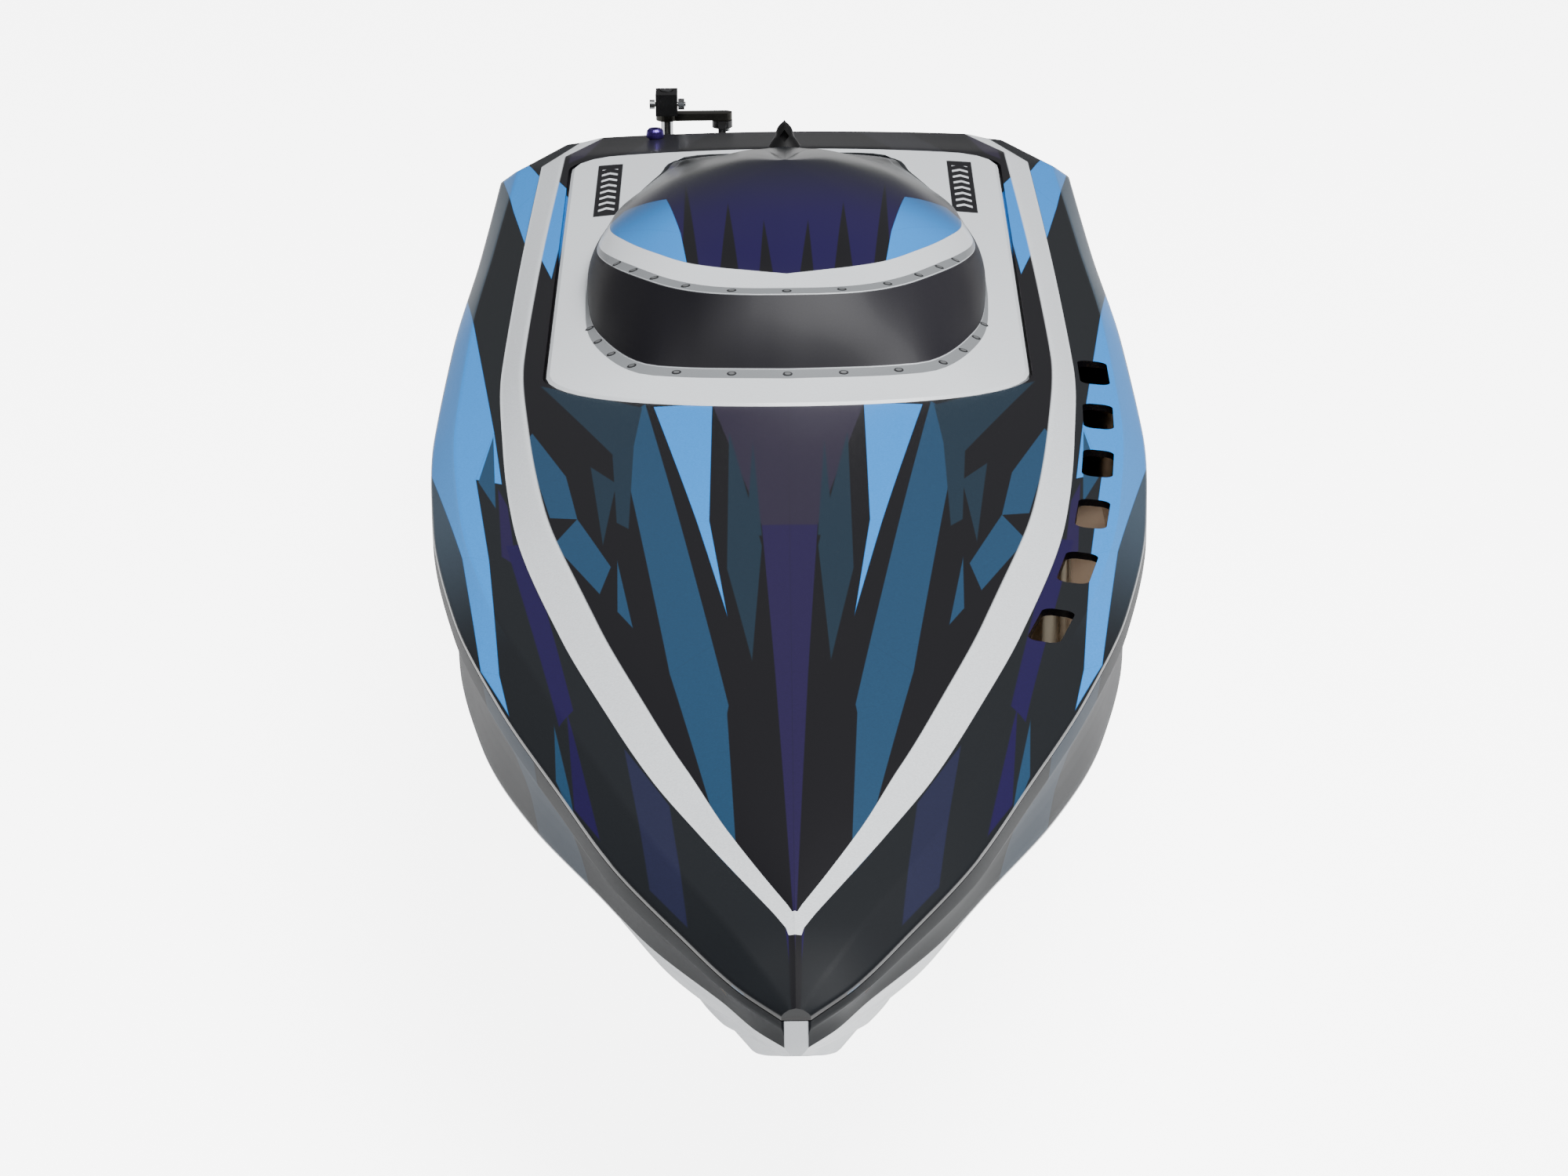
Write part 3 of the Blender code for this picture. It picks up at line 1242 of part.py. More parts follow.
def make_battery():
    """The tray, two packs and the straps over them."""
    end = TRANSOM_Y - BATTERY_TO_TRANSOM
    start = end - BATTERY_LENGTH
    pad = 0.006
    keel_z, flat, chine, chine_z = bottom_line(start - pad)
    rise = TRAY_HEIGHT - inner_floor(0.0, start - pad)
    half = flat + rise * (chine - flat) / (chine_z - keel_z) - 0.001
    half = min(half, chamber_line(0.0) - CHAMBER_WALL - 0.002)
    size = (2 * half, BATTERY_LENGTH + 2 * pad, TRAY_THICKNESS)
    box("battery_tray", size, (0, (start + end) / 2, TRAY_HEIGHT + TRAY_THICKNESS / 2), "glass_epoxy")
    low = TRAY_HEIGHT + TRAY_THICKNESS + GAP
    spread_x = BATTERY_WIDTH / 2 + 0.0015
    for side, word in ((-1, "starboard"), (1, "port")):
        centre = (side * spread_x, (start + end) / 2, low + BATTERY_HEIGHT / 2)
        box("battery_pack_" + word, (BATTERY_WIDTH, BATTERY_LENGTH, BATTERY_HEIGHT), centre, "battery_wrap", 0.002)
    inner = spread_x + BATTERY_WIDTH / 2 + FIT
    top = low + BATTERY_HEIGHT + FIT
    outer = inner + STRAP_THICKNESS
    outline = [
        (-outer, low), (-inner, low), (-inner, top), (inner, top), (inner, low), (outer, low),
        (outer, top + STRAP_THICKNESS), (-outer, top + STRAP_THICKNESS),
    ]
    for word, place in (("front", 0.22), ("rear", 0.78)):
        y = start + place * BATTERY_LENGTH
        prism("battery_strap_" + word, [outline], y - STRAP_WIDTH / 2, y + STRAP_WIDTH / 2, "Y", "webbing")


def make_radio_gear():
    """The speed controller to port of the motor, and the radio box to starboard."""
    end = motor_end()
    clear = MOTOR_RADIUS + GAP + JACKET_WALL + 0.005
    width, length, height = CONTROLLER_SIZE
    x = clear + width / 2
    y = end - 0.004 - length / 2
    box("speed_controller", CONTROLLER_SIZE, (x, y, GEAR_HEIGHT + height / 2), "black_plastic", 0.002)
    plate = (width - 0.006, length - 0.012, 0.004)
    box("controller_cooler", plate, (x, y, GEAR_HEIGHT + height + GAP + 0.002), "aluminium", 0.0006)
    width, length, height = RADIO_BOX_SIZE
    x = -clear - width / 2
    y = end - 0.004 - length / 2
    shell = box("radio_box", RADIO_BOX_SIZE, (x, y, GEAR_HEIGHT + height / 2), "black_plastic")
    wall = 0.002
    hollow = (width - 2 * wall, length - 2 * wall, height)
    bpy.ops.mesh.primitive_cube_add(size=1.0, location=(x, y, GEAR_HEIGHT + height / 2 + wall))
    void = bpy.context.active_object
    void.data.transform(Matrix.Diagonal((*hollow, 1.0)))
    combine(shell, adopt(void, "radio_box_void", None, "cutters"))
    lid_z = GEAR_HEIGHT + height + GAP + 0.0015
    box("radio_box_lid", (width + 0.003, length + 0.003, 0.003), (x, y, lid_z), "clear_plastic", 0.0008)
    box("receiver", (0.024, 0.038, 0.013), (x, y, GEAR_HEIGHT + wall + GAP + 0.0065), "black_plastic", 0.0015)


# ---------------------------------------------------------------- transom and deck fittings


def drain_line(before, after):
    """The drain plug's axis through the transom, starboard of the keel."""
    x = -0.026
    z = inner_floor(x, TRANSOM_Y) + 0.010
    return (x, TRANSOM_Y + before, z), (x, TRANSOM_Y + after, z)


def outlet_line(before, after):
    """The cooling outlet's axis through the port side of the transom."""
    x = 0.050
    z = inner_floor(x, TRANSOM_Y) + 0.030
    return (x, TRANSOM_Y + before, z), (x, TRANSOM_Y + after, z)


def antenna_place():
    """Where the antenna socket stands on the stern strip."""
    return -0.0525, TRANSOM_Y - 0.010


def make_fittings():
    """The drain plug, cooling outlet and antenna socket."""
    plug = [(0.0, 0.0030), (0.0050, 0.0030), (0.0056, 0.0024), (0.0056, GAP), (DRAIN_RADIUS, GAP), (DRAIN_RADIUS, -0.006), (0.0, -0.006)]
    turned("drain_plug", plug, drain_line(0.0, 0.0)[0], (0, 1, 0), "black_plastic", 24)
    bore = 0.0013
    outlet = [
        (bore, 0.010), (0.0020, 0.010), (0.0024, 0.0030), (0.0046, 0.0030), (0.0046, GAP),
        (OUTLET_RADIUS, GAP), (OUTLET_RADIUS, -0.007), (0.0020, -0.012), (bore, -0.012),
    ]
    turned("cooling_outlet", outlet, outlet_line(0.0, 0.0)[0], (0, 1, 0), "purple_anodised", 24, closed=True)
    x, y = antenna_place()
    z = max(deck_height(x, y - 0.0036), deck_height(x + 0.0036, y)) + GAP
    stem = ANTENNA_STEM
    socket = [
        (0.0010, 0.0034), (0.0026, 0.0034), (0.0033, 0.0026), (0.0036, 0.0010), (0.0036, 0.0),
        (stem, 0.0), (stem, -0.009), (0.0010, -0.009),
    ]
    turned("antenna_socket", socket, (x, y, z), (0, 0, 1), "purple_anodised", 24, closed=True)


def make_trim_tabs():
    """A trim tab on each side of the transom, on a pin, with its bracket and stop screw."""
    for side, word in ((-1, "starboard"), (1, "port")):
        keel_z, flat, chine, chine_z = bottom_line(TRANSOM_Y)
        slope = math.atan2(chine_z - keel_z, chine - flat)
        low_z = keel_z + (TAB_X - flat) * math.tan(slope)
        origin = Vector((side * TAB_X, TRANSOM_Y + TAB_STANDOFF, low_z + TAB_RISE))
        turn = Matrix.Rotation(-side * slope, 4, "Y")
        start = TRANSOM_Y + TAB_STANDOFF + 2 * TAB_PIN_RADIUS
        plate = box("trim_tab_" + word, (TAB_WIDTH, TAB_LENGTH, TAB_THICKNESS), (0, 0, 0), "steel")
        plate.data.transform(Matrix.Translation((0, start - origin.y + TAB_LENGTH / 2, 0)))
        plate.matrix_world = Matrix.Translation(origin) @ turn
        reach = TAB_WIDTH / 2 + 0.002
        pin = rod("tab_pin_" + word, TAB_PIN_RADIUS, (-reach, 0, 0), (reach, 0, 0), "steel", 16)
        pin.matrix_world = Matrix.Translation(origin) @ turn @ pin.matrix_world
        outline = [
            (GAP - TAB_STANDOFF, TAB_PIN_RADIUS + 0.0006), (0.0062, TAB_PIN_RADIUS + 0.0022), (0.0160, 0.0050),
            (0.0160, 0.0075), (0.0040, 0.0110), (0.0020, 0.0180), (GAP - TAB_STANDOFF, 0.0200),
        ]
        bracket = as_mesh(prism("tab_bracket_" + word, [outline], -0.004, 0.004, "X", "aluminium"))
        hole_line = ((0, 0.0125, -0.002), (0, 0.0125, 0.012))
        drill = round_cutter("tab_hole_" + word, TAB_SCREW_RADIUS + GAP, *hole_line)
        drill.matrix_world = Matrix.Translation(origin) @ turn @ drill.matrix_world
        bracket.matrix_world = Matrix.Translation(origin) @ turn @ bracket.matrix_world
        combine(bracket, drill)
        profile = [(0.0, 0.0118), (0.0020, 0.0118), (0.0020, 0.0100), (TAB_SCREW_RADIUS, 0.0100)]
        profile += [(TAB_SCREW_RADIUS, 0.0012), (0.0, 0.0012)]
        screw = turned("tab_screw_" + word, profile, (0, 0.0125, 0.0), (0, 0, 1), "steel", 16)
        screw.matrix_world = Matrix.Translation(origin) @ turn @ screw.matrix_world
        hang([plate], "tab_axis_" + word, origin)


def main():
    """Build the whole boat."""
    clear_scene()
    make_collections()
    make_materials()
    make_hull()
    make_deck()
    make_hatch_seal()
    make_flood_chamber()
    make_foam()
    make_canopy()
    make_latch()
    make_motor()
    make_shaft_line()
    make_strut()
    make_propeller()
    make_rudder_bracket()
    make_rudder()
    make_pushrod()
    make_servo()
    make_battery()
    make_radio_gear()
    make_fittings()
    make_trim_tabs()


main()
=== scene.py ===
"""Finished looks of a radio-controlled deep-V racing boat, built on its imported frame.

X points to port, Y points aft and Z points up, in metres. The hull, deck and canopy are
rebuilt here from their lines at full resolution; the running gear keeps its frame shapes
and gets its finishes, and small fasteners are added around it.
"""

import logging
import math
from dataclasses import dataclass
from enum import Enum

import bmesh
import bpy
from mathutils import Matrix, Vector


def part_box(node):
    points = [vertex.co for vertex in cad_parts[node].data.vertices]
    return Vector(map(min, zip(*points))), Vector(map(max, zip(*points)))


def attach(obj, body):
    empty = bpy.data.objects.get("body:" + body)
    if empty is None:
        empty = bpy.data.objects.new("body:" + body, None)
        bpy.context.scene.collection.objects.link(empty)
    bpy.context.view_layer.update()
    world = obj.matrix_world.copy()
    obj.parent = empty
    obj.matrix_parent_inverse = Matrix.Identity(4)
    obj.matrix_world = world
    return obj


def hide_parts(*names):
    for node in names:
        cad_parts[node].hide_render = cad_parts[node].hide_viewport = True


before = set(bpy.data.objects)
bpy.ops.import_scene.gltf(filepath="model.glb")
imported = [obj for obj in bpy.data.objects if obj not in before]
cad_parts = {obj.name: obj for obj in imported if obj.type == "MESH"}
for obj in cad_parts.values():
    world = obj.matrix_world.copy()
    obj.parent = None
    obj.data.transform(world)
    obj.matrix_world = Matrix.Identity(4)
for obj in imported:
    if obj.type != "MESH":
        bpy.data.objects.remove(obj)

LOG = logging.getLogger("rc_boat")
SECTION_STATIONS = 130
THIN = 0.0006


# ---------------------------------------------------------------- curves and sections


def smooth(table: list[tuple[float, float]], place: float) -> float:
    """Read a table along a curve that never overshoots its points.

    Args:
        table: Pairs of place and value, in order of place.
        place: Where to read it.

    Returns:
        The value at that place.
    """
    places = [entry[0] for entry in table]
    values = [entry[1] for entry in table]
    slopes = [(b - a) / (q - p) for p, q, a, b in zip(places, places[1:], values, values[1:])]
    tangents = [slopes[0]]
    for before, after in zip(slopes, slopes[1:]):
        tangents.append(0.0 if before * after <= 0 else 2 * before * after / (before + after))
    tangents.append(slopes[-1])
    place = min(max(place, places[0]), places[-1])
    index = max(i for i in range(len(places) - 1) if places[i] <= place)
    span = places[index + 1] - places[index]
    t = (place - places[index]) / span
    rise = values[index + 1] - values[index]
    start = tangents[index] * span
    end = tangents[index + 1] * span
    bend = (3 * rise - 2 * start - end) * t * t
    return values[index] + start * t + bend + (start + end - 2 * rise) * t ** 3


def spread(points: list[Vector], steps: int = 8) -> list[Vector]:
    """Points on a smooth curve through the given points.

    Args:
        points: Places that the curve passes.
        steps: Points made for each stretch.

    Returns:
        The points of the curve.
    """
    ends = [2 * points[0] - points[1], *points, 2 * points[-1] - points[-2]]
    route = [points[0]]
    for before, start, end, after in zip(ends, ends[1:], ends[2:], ends[3:]):
        for step in range(1, steps + 1):
            t = step / steps
            bend = (2 * before - 5 * start + 4 * end - after) * t * t
            twist = (3 * start - 3 * end + after - before) * t ** 3
            route.append((2 * start + (end - before) * t + bend + twist) / 2)
    return route


def even_points(route: list[Vector], count: int) -> list[Vector]:
    """A route resampled at even distances.

    Args:
        route: Points in order.
        count: Number of stretches wanted.

    Returns:
        The new points, one more than count.
    """
    lengths = [0.0]
    for start, end in zip(route, route[1:]):
        lengths.append(lengths[-1] + (end - start).length)
    result = []
    index = 0
    for step in range(count + 1):
        target = lengths[-1] * step / count
        while index < len(route) - 2 and lengths[index + 1] < target:
            index += 1
        span = max(lengths[index + 1] - lengths[index], 1e-9)
        result.append(route[index].lerp(route[index + 1], (target - lengths[index]) / span))
    return result


def arc(centre: tuple[float, float], radius: float, start: float, end: float, steps: int = 16) -> list:
    """Points of a circular arc.

    Args:
        centre: Its centre.
        radius: Its radius.
        start: First angle, in degrees.
        end: Last angle, in degrees.
        steps: Number of stretches.

    Returns:
        The points as (x, y) pairs.
    """
    angles = [math.radians(start + (end - start) * step / steps) for step in range(steps + 1)]
    return [(centre[0] + radius * math.cos(a), centre[1] + radius * math.sin(a)) for a in angles]


def eased(points: list[Vector], radius: float, steps: int = 3) -> list[Vector]:
    """A polyline with its corners rounded.

    Args:
        points: Corners; the third value travels along as a label for the paint.
        radius: Distance from each corner where its rounding starts.
        steps: Stretches in each rounding.

    Returns:
        The rounded polyline, with its ends kept.
    """
    result = [points[0]]
    for before, corner, after in zip(points, points[1:], points[2:]):
        back = before - corner
        ahead = after - corner
        flat_back = math.hypot(back.x, back.y)
        flat_ahead = math.hypot(ahead.x, ahead.y)
        start = corner + back * min(radius / max(flat_back, 1e-9), 0.42)
        end = corner + ahead * min(radius / max(flat_ahead, 1e-9), 0.42)
        for step in range(steps + 1):
            t = step / steps
            result.append(start * (1 - t) ** 2 + corner * 2 * t * (1 - t) + end * t * t)
    result.append(points[-1])
    return result


# ---------------------------------------------------------------- mesh helpers


def show(name: str, mesh: bpy.types.Mesh, material: bpy.types.Material | None) -> bpy.types.Object:
    """Put a mesh in the scene.

    Args:
        name: The object's name.
        mesh: Its mesh.
        material: Its material, if it has one.

    Returns:
        The new object.
    """
    item = bpy.data.objects.new(name, mesh)
    bpy.context.scene.collection.objects.link(item)
    if material is not None:
        mesh.materials.append(material)
    return item


def finished(work: bmesh.types.BMesh, name: str, material=None) -> bpy.types.Object:
    """Turn a solid's faces outwards and put it in the scene.

    Args:
        work: The solid's faces, used up here.
        name: The object's name.
        material: Its material, if it has one.

    Returns:
        The new object.
    """
    bmesh.ops.recalc_face_normals(work, faces=work.faces)
    mesh = bpy.data.meshes.new(name)
    work.to_mesh(mesh)
    work.free()
    return show(name, mesh, material)


def bridge(work: bmesh.types.BMesh, near: list, far: list) -> None:
    """Join two closed rows of vertices with faces.

    Args:
        work: Where the faces are made.
        near: One row.
        far: The other row, of the same count.
    """
    for face in zip(near, near[1:] + near[:1], far[1:] + far[:1], far):
        work.faces.new(face)


def loft(name: str, rings: list[list[Vector]], labels: list[list[float]], material=None) -> bpy.types.Object:
    """A closed solid through rings of equal point counts, with a UV map for its paint.

    Args:
        name: The object's name.
        rings: Rings of points along the boat.
        labels: The paint label of every point of every ring.
        material: Its material, if it has one.

    Returns:
        The solid. Its UV map holds the ring's share in U and the label in V.
    """
    work = bmesh.new()
    layer = work.loops.layers.uv.new("lines")
    rows = [[work.verts.new(point) for point in ring] for ring in rings]
    tags = {}
    for row, (verts, marks) in enumerate(zip(rows, labels)):
        for vert, mark in zip(verts, marks):
            tags[vert] = (row / (len(rows) - 1), mark)
    for near, far in zip(rows, rows[1:]):
        bridge(work, near, far)
    work.faces.new(rows[0])
    work.faces.new(rows[-1])
    for face in work.faces:
        face.smooth = True
        for corner in face.loops:
            corner[layer].uv = tags[corner.vert]
    return finished(work, name, material)


def prism(name: str, outline: list, low: float, high: float, material=None) -> bpy.types.Object:
    """A flat outline swept upwards.

    Args:
        name: The object's name.
        outline: Points as (x, y).
        low: Its lower height.
        high: Its upper height.
        material: Its material, if it has one.

    Returns:
        The solid.
    """
    work = bmesh.new()
    base = [work.verts.new((x, y, low)) for x, y in outline]
    top = [work.verts.new((x, y, high)) for x, y in outline]
    work.faces.new(base)
    work.faces.new(top)
    bridge(work, base, top)
    return finished(work, name, material)


def turned(name: str, profile: list, origin, direction, material, steps: int = 40) -> bpy.types.Object:
    """A turned shape whose place is in its mesh.

    Args:
        name: The object's name.
        profile: Points as (radius, height), from the far end back.
        origin: Where its axis starts.
        direction: Where its axis points.
        material: Its material.
        steps: Steps round its axis.

    Returns:
        The solid.
    """
    work = bmesh.new()
    verts = [work.verts.new((radius, 0.0, height)) for radius, height in profile]
    edges = [work.edges.new(pair) for pair in zip(verts, verts[1:])]
    bmesh.ops.spin(
        work, geom=verts + edges, cent=(0, 0, 0), axis=(0, 0, 1), angle=2 * math.pi, steps=steps,
        use_duplicate=False,
    )
    bmesh.ops.remove_doubles(work, verts=work.verts, dist=0.00001)
    item = finished(work, name, material)
    turn = Vector((0, 0, 1)).rotation_difference(Vector(direction)).to_matrix().to_4x4()
    item.data.transform(Matrix.Translation(Vector(origin)) @ turn)
    return item


def cut(item: bpy.types.Object, *cutters: bpy.types.Object) -> None:
    """Cut an object with others, which are then removed.

    Args:
        item: What is cut.
        cutters: What cuts it.
    """
    for cutter in cutters:
        modifier = item.modifiers.new("cut", "BOOLEAN")
        modifier.operation = "DIFFERENCE"
        modifier.solver = "EXACT"
        modifier.object = cutter
    settle(item)
    for cutter in cutters:
        bpy.data.objects.remove(cutter, do_unlink=True)


def settle(item: bpy.types.Object) -> None:
    """Apply an object's modifiers to its mesh.

    Args:
        item: The object.
    """
    bpy.context.view_layer.update()
    evaluated = item.evaluated_get(bpy.context.evaluated_depsgraph_get())
    mesh = bpy.data.meshes.new_from_object(evaluated)
    item.modifiers.clear()
    item.data = mesh


def shade(item: bpy.types.Object, angle: float = 28.0) -> None:
    """Shade a mesh smooth, but keep its corners sharp.

    Args:
        item: The object.
        angle: Corners sharper than this stay sharp, in degrees.
    """
    mesh = item.data
    mesh.polygons.foreach_set("use_smooth", [True] * len(mesh.polygons))
    mesh.set_sharp_from_angle(angle=math.radians(angle))


def soften(item: bpy.types.Object, width: float, segments: int = 2, angle: float = 35.0) -> None:
    """Round an object's sharp edges with a live bevel.

    Args:
        item: The object.
        width: Width of the rounding.
        segments: Its segments.
        angle: Only edges sharper than this are rounded, in degrees.
    """
    modifier = item.modifiers.new("worn_edges", "BEVEL")
    modifier.width = width
    modifier.segments = segments
    modifier.limit_method = "ANGLE"
    modifier.angle_limit = math.radians(angle)
    modifier.harden_normals = False


# ---------------------------------------------------------------- the boat's lines


@dataclass(frozen=True)
class Lines:
    """The hull's driving sizes and lines, the same as the frame's.

    Breadths are shares of half the beam and heights are shares of the gunwale height, each
    against the share of the length from the bow. The rest are metres.
    """

    length: float = 0.900
    beam: float = 0.245
    height: float = 0.092
    wall: float = 0.0022
    transom_wall: float = 0.003
    rim: float = 0.006
    lip: float = 0.0015
    gap: float = 0.0003
    keel_pad: float = 0.012
    strake: float = 0.006
    corner_length: float = 0.045
    corner_width: float = 0.017
    solid_bow: float = 0.036
    strip: float = 0.050
    strip_drop: float = 0.005
    full_step: float = 0.025
    gunwale_breadth: tuple = (
        (0.0, 0.033), (0.022, 0.14), (0.056, 0.26), (0.11, 0.43), (0.167, 0.563), (0.244, 0.73),
        (0.333, 0.873), (0.433, 0.963), (0.544, 1.0), (0.667, 0.992), (0.811, 0.955), (1.0, 0.925),
    )
    gunwale_line: tuple = (
        (0.0, 0.783), (0.056, 0.832), (0.167, 0.908), (0.278, 0.957), (0.444, 0.99),
        (0.556, 1.0), (0.722, 1.0), (1.0, 0.978),
    )
    centre_rise: tuple = (
        (0.0, 0.002), (0.056, 0.0075), (0.167, 0.0115), (0.278, 0.014), (0.444, 0.0163),
        (0.556, 0.016), (1.0, 0.0145),
    )
    crease_inset: tuple = (
        (0.0, 0.002), (0.022, 0.008), (0.11, 0.013), (0.244, 0.0135), (0.333, 0.011),
        (0.433, 0.009), (0.544, 0.0075), (0.811, 0.006), (1.0, 0.0075),
    )
    crease_rise: tuple = ((0.0, 0.0015), (0.05, 0.005), (1.0, 0.005))
    stripe_foot: tuple = (
        (0.0, -0.112), (0.039, 0.0), (0.11, 0.204), (0.158, 0.335), (0.217, 0.457), (0.286, 0.58),
        (0.408, 0.735), (0.506, 0.792), (0.609, 0.825), (0.722, 0.82), (1.0, 0.79),
    )
    stripe_width: tuple = (
        (0.0, 0.005), (0.039, 0.005), (0.11, 0.0065), (0.16, 0.010), (0.32, 0.011), (0.41, 0.0095),
        (0.6, 0.007), (1.0, 0.009),
    )
    chine_inset: tuple = ((0.0, 0.001), (0.05, 0.008), (0.15, 0.0105), (0.3, 0.008), (1.0, 0.007))
    chine_line: tuple = (
        (0.0, 0.674), (0.056, 0.63), (0.167, 0.554), (0.278, 0.5), (0.39, 0.467), (0.5, 0.446),
        (0.722, 0.435), (1.0, 0.435),
    )
    keel_line: tuple = (
        (0.0, 0.652), (0.022, 0.565), (0.078, 0.359), (0.167, 0.152), (0.278, 0.033),
        (0.389, 0.0), (1.0, 0.0),
    )

    @property
    def bow(self) -> float:
        """Y of the bow."""
        return -self.length / 2

    @property
    def transom(self) -> float:
        """Y of the transom."""
        return self.length / 2

    def share(self, y: float) -> float:
        """Place along the hull as a share of its length."""
        return (y - self.bow) / self.length

    def corner(self, y: float) -> float:
        """How far the transom corner's chamfer brings the edge in."""
        return self.corner_width * max(0.0, 1.0 - (self.transom - y) / self.corner_length)

    def gunwale(self, y: float) -> float:
        """Half-breadth at the gunwale."""
        return smooth(self.gunwale_breadth, self.share(y)) * self.beam / 2 - self.corner(y)

    def gunwale_z(self, y: float) -> float:
        """Height of the gunwale."""
        return smooth(self.gunwale_line, self.share(y)) * self.height

    def deck_corners(self, y: float) -> list[Vector]:
        """Corners of the half deck section: centre, crown, stripe top, foot, crease, gunwale.

        Args:
            y: The station.

        Returns:
            Points (x, z, label); the label runs from 0 at the centre to 4 at the gunwale.
        """
        t = self.share(y)
        gunwale = self.gunwale(y)
        crease = gunwale - smooth(self.crease_inset, t)
        foot = smooth(self.stripe_foot, t) * self.beam / 2 - 0.8 * self.corner(y)
        foot = max(min(foot, crease - THIN), 2 * THIN)
        top = max(foot - smooth(self.stripe_width, t), THIN)
        crease_z = self.gunwale_z(y) + smooth(self.crease_rise, t)
        drop = self.strip_drop * max(0.0, 1.0 - (self.transom - y) / self.strip)
        rise = self.gunwale_z(y) + smooth(self.centre_rise, t) - drop - crease_z
        stepped = min(foot / self.full_step, 1.0)
        top_rise = 1 - top / crease + (top / crease - 0.39) * stepped
        foot_rise = 1 - foot / crease + (foot / crease - 0.86) * stepped
        crown = []
        for step in range(9):
            s = step / 8
            bend = s + (s * s - s) * stepped
            crown.append(Vector((top * s, crease_z + rise * (1 - (1 - top_rise) * bend), s)))
        crown.append(Vector((foot, crease_z + foot_rise * rise, 2.0)))
        crown.append(Vector((crease, crease_z, 3.0)))
        crown.append(Vector((gunwale, self.gunwale_z(y), 4.0)))
        return crown

    def deck_z(self, x: float, y: float) -> float:
        """Height of the deck at a point."""
        half = self.deck_corners(y)
        for near, far in zip(half, half[1:]):
            if abs(x) <= far.x:
                return near.y + (far.y - near.y) * (abs(x) - near.x) / (far.x - near.x)
        return half[-1].y

    def bottom(self, y: float) -> tuple[float, float, float, float]:
        """Keel height, pad half-width, chine half-breadth and chine height."""
        t = self.share(y)
        chine = self.gunwale(y) - smooth(self.chine_inset, t)
        keel_z = smooth(self.keel_line, t) * self.height
        return keel_z, min(self.keel_pad, 0.4 * chine), chine, smooth(self.chine_line, t) * self.height

    def hull_corners(self, y: float) -> list[Vector]:
        """Corners of the half hull section, from the keel to the rim.

        Args:
            y: The station.

        Returns:
            Points (x, z, label); the label is 2 at the chine and 4 at the rim.
        """
        keel_z, pad, chine, chine_z = self.bottom(y)
        gunwale = self.gunwale(y)
        rim_z = self.gunwale_z(y) - self.lip - self.gap
        half = [Vector((0.0, keel_z, 0.0)), Vector((pad, keel_z, 0.5))]
        reach = chine - pad
        for place in (0.36, 0.68):
            width = min(self.strake, 0.12 * reach) / reach
            low = keel_z + place * (chine_z - keel_z)
            high = keel_z + (place + width) * (chine_z - keel_z)
            outer = pad + (place + width) * reach
            half.append(Vector((pad + place * reach, low, 1.0)))
            half.append(Vector((outer - THIN / 4, low + THIN / 4, 1.1)))
            half.append(Vector((outer, high, 1.2)))
        lip_z = rim_z - min(0.006, 0.25 * (rim_z - chine_z))
        flare = gunwale - chine
        half.append(Vector((chine, chine_z, 2.0)))
        for step in range(1, 6):
            s = step / 6
            out = flare * (0.22 * s + 0.78 * s ** 3) * 0.88
            half.append(Vector((chine + out, chine_z + s * (lip_z - chine_z), 2.0 + s)))
        half.append(Vector((gunwale, lip_z, 3.0)))
        half.append(Vector((gunwale, rim_z, 4.0)))
        return half

    def floor(self, x: float, y: float) -> float:
        """Height of the hull's inner surface over its bottom."""
        keel_z, pad, chine, chine_z = self.bottom(y)
        slope = (chine_z - keel_z) / (chine - pad)
        return keel_z + 1.12 * self.wall + max(0.0, abs(x) - pad) * slope

    def stations(self, start: float, end: float, count: int) -> list[float]:
        """Stations between two places, closer together at the bow."""
        places = [start + (end - start) * (step / count) ** 1.35 for step in range(count + 1)]
        knuckles = [self.transom - self.strip, self.transom - self.corner_length]
        places = [y for y in places if min(abs(y - knuckle) for knuckle in knuckles) > 0.002]
        places += [knuckle for knuckle in knuckles if start < knuckle < end]
        return sorted(places)


def full_ring(y: float, half: list[Vector]) -> tuple[list[Vector], list[float]]:
    """A full ring at one station from its half, with its labels.

    Args:
        y: The station.
        half: Points (x, z, label) from the centre out and back to the centre.

    Returns:
        The ring's points and their labels.
    """
    port = [Vector((p.x, y, p.y)) for p in half]
    marks = [p.z for p in half]
    inner = [(point, mark) for point, mark in zip(port, marks) if point.x > 0.0]
    starboard = [Vector((-point.x, y, point.z)) for point, _ in reversed(inner)]
    return port + starboard, marks + [mark for _, mark in reversed(inner)]


@dataclass(frozen=True)
class HatchPlan:
    """The canopy flange's outline in plan, the same as the frame's."""

    half: float = 0.0845
    length: float = 0.3755
    rear: float = 0.396
    nose: float = 0.052
    corner: float = 0.018
    ledge: float = 0.0125
    floor: float = 0.0995
    ledge_thickness: float = 0.003
    recess_gap: float = 0.0012

    @property
    def front(self) -> float:
        """Y of the flange's nose."""
        return self.rear - self.length

    def half_outline(self, inset: float) -> list[tuple[float, float]]:
        """Port half of the outline, from the nose to the rear centre.

        Args:
            inset: How far it is brought in.

        Returns:
            Points as (x, y).
        """
        half = self.half - inset
        rear = self.rear - inset
        corner = max(self.corner - inset, 0.004)
        middle = self.front + self.nose
        depth = self.nose - inset
        points = []
        for step in range(33):
            angle = math.pi / 2 * (1 - step / 32)
            points.append((half * math.cos(angle), middle - depth * math.sin(angle)))
        points += arc((half - corner, rear - corner), corner, 0, 90, 12)
        return points + [(0.0, rear)]

    def outline(self, inset: float) -> list[tuple[float, float]]:
        """The whole outline, brought in by an inset."""
        port = self.half_outline(inset)
        return port + [(-x, y) for x, y in reversed(port[1:-1])]


# ---------------------------------------------------------------- hull and deck


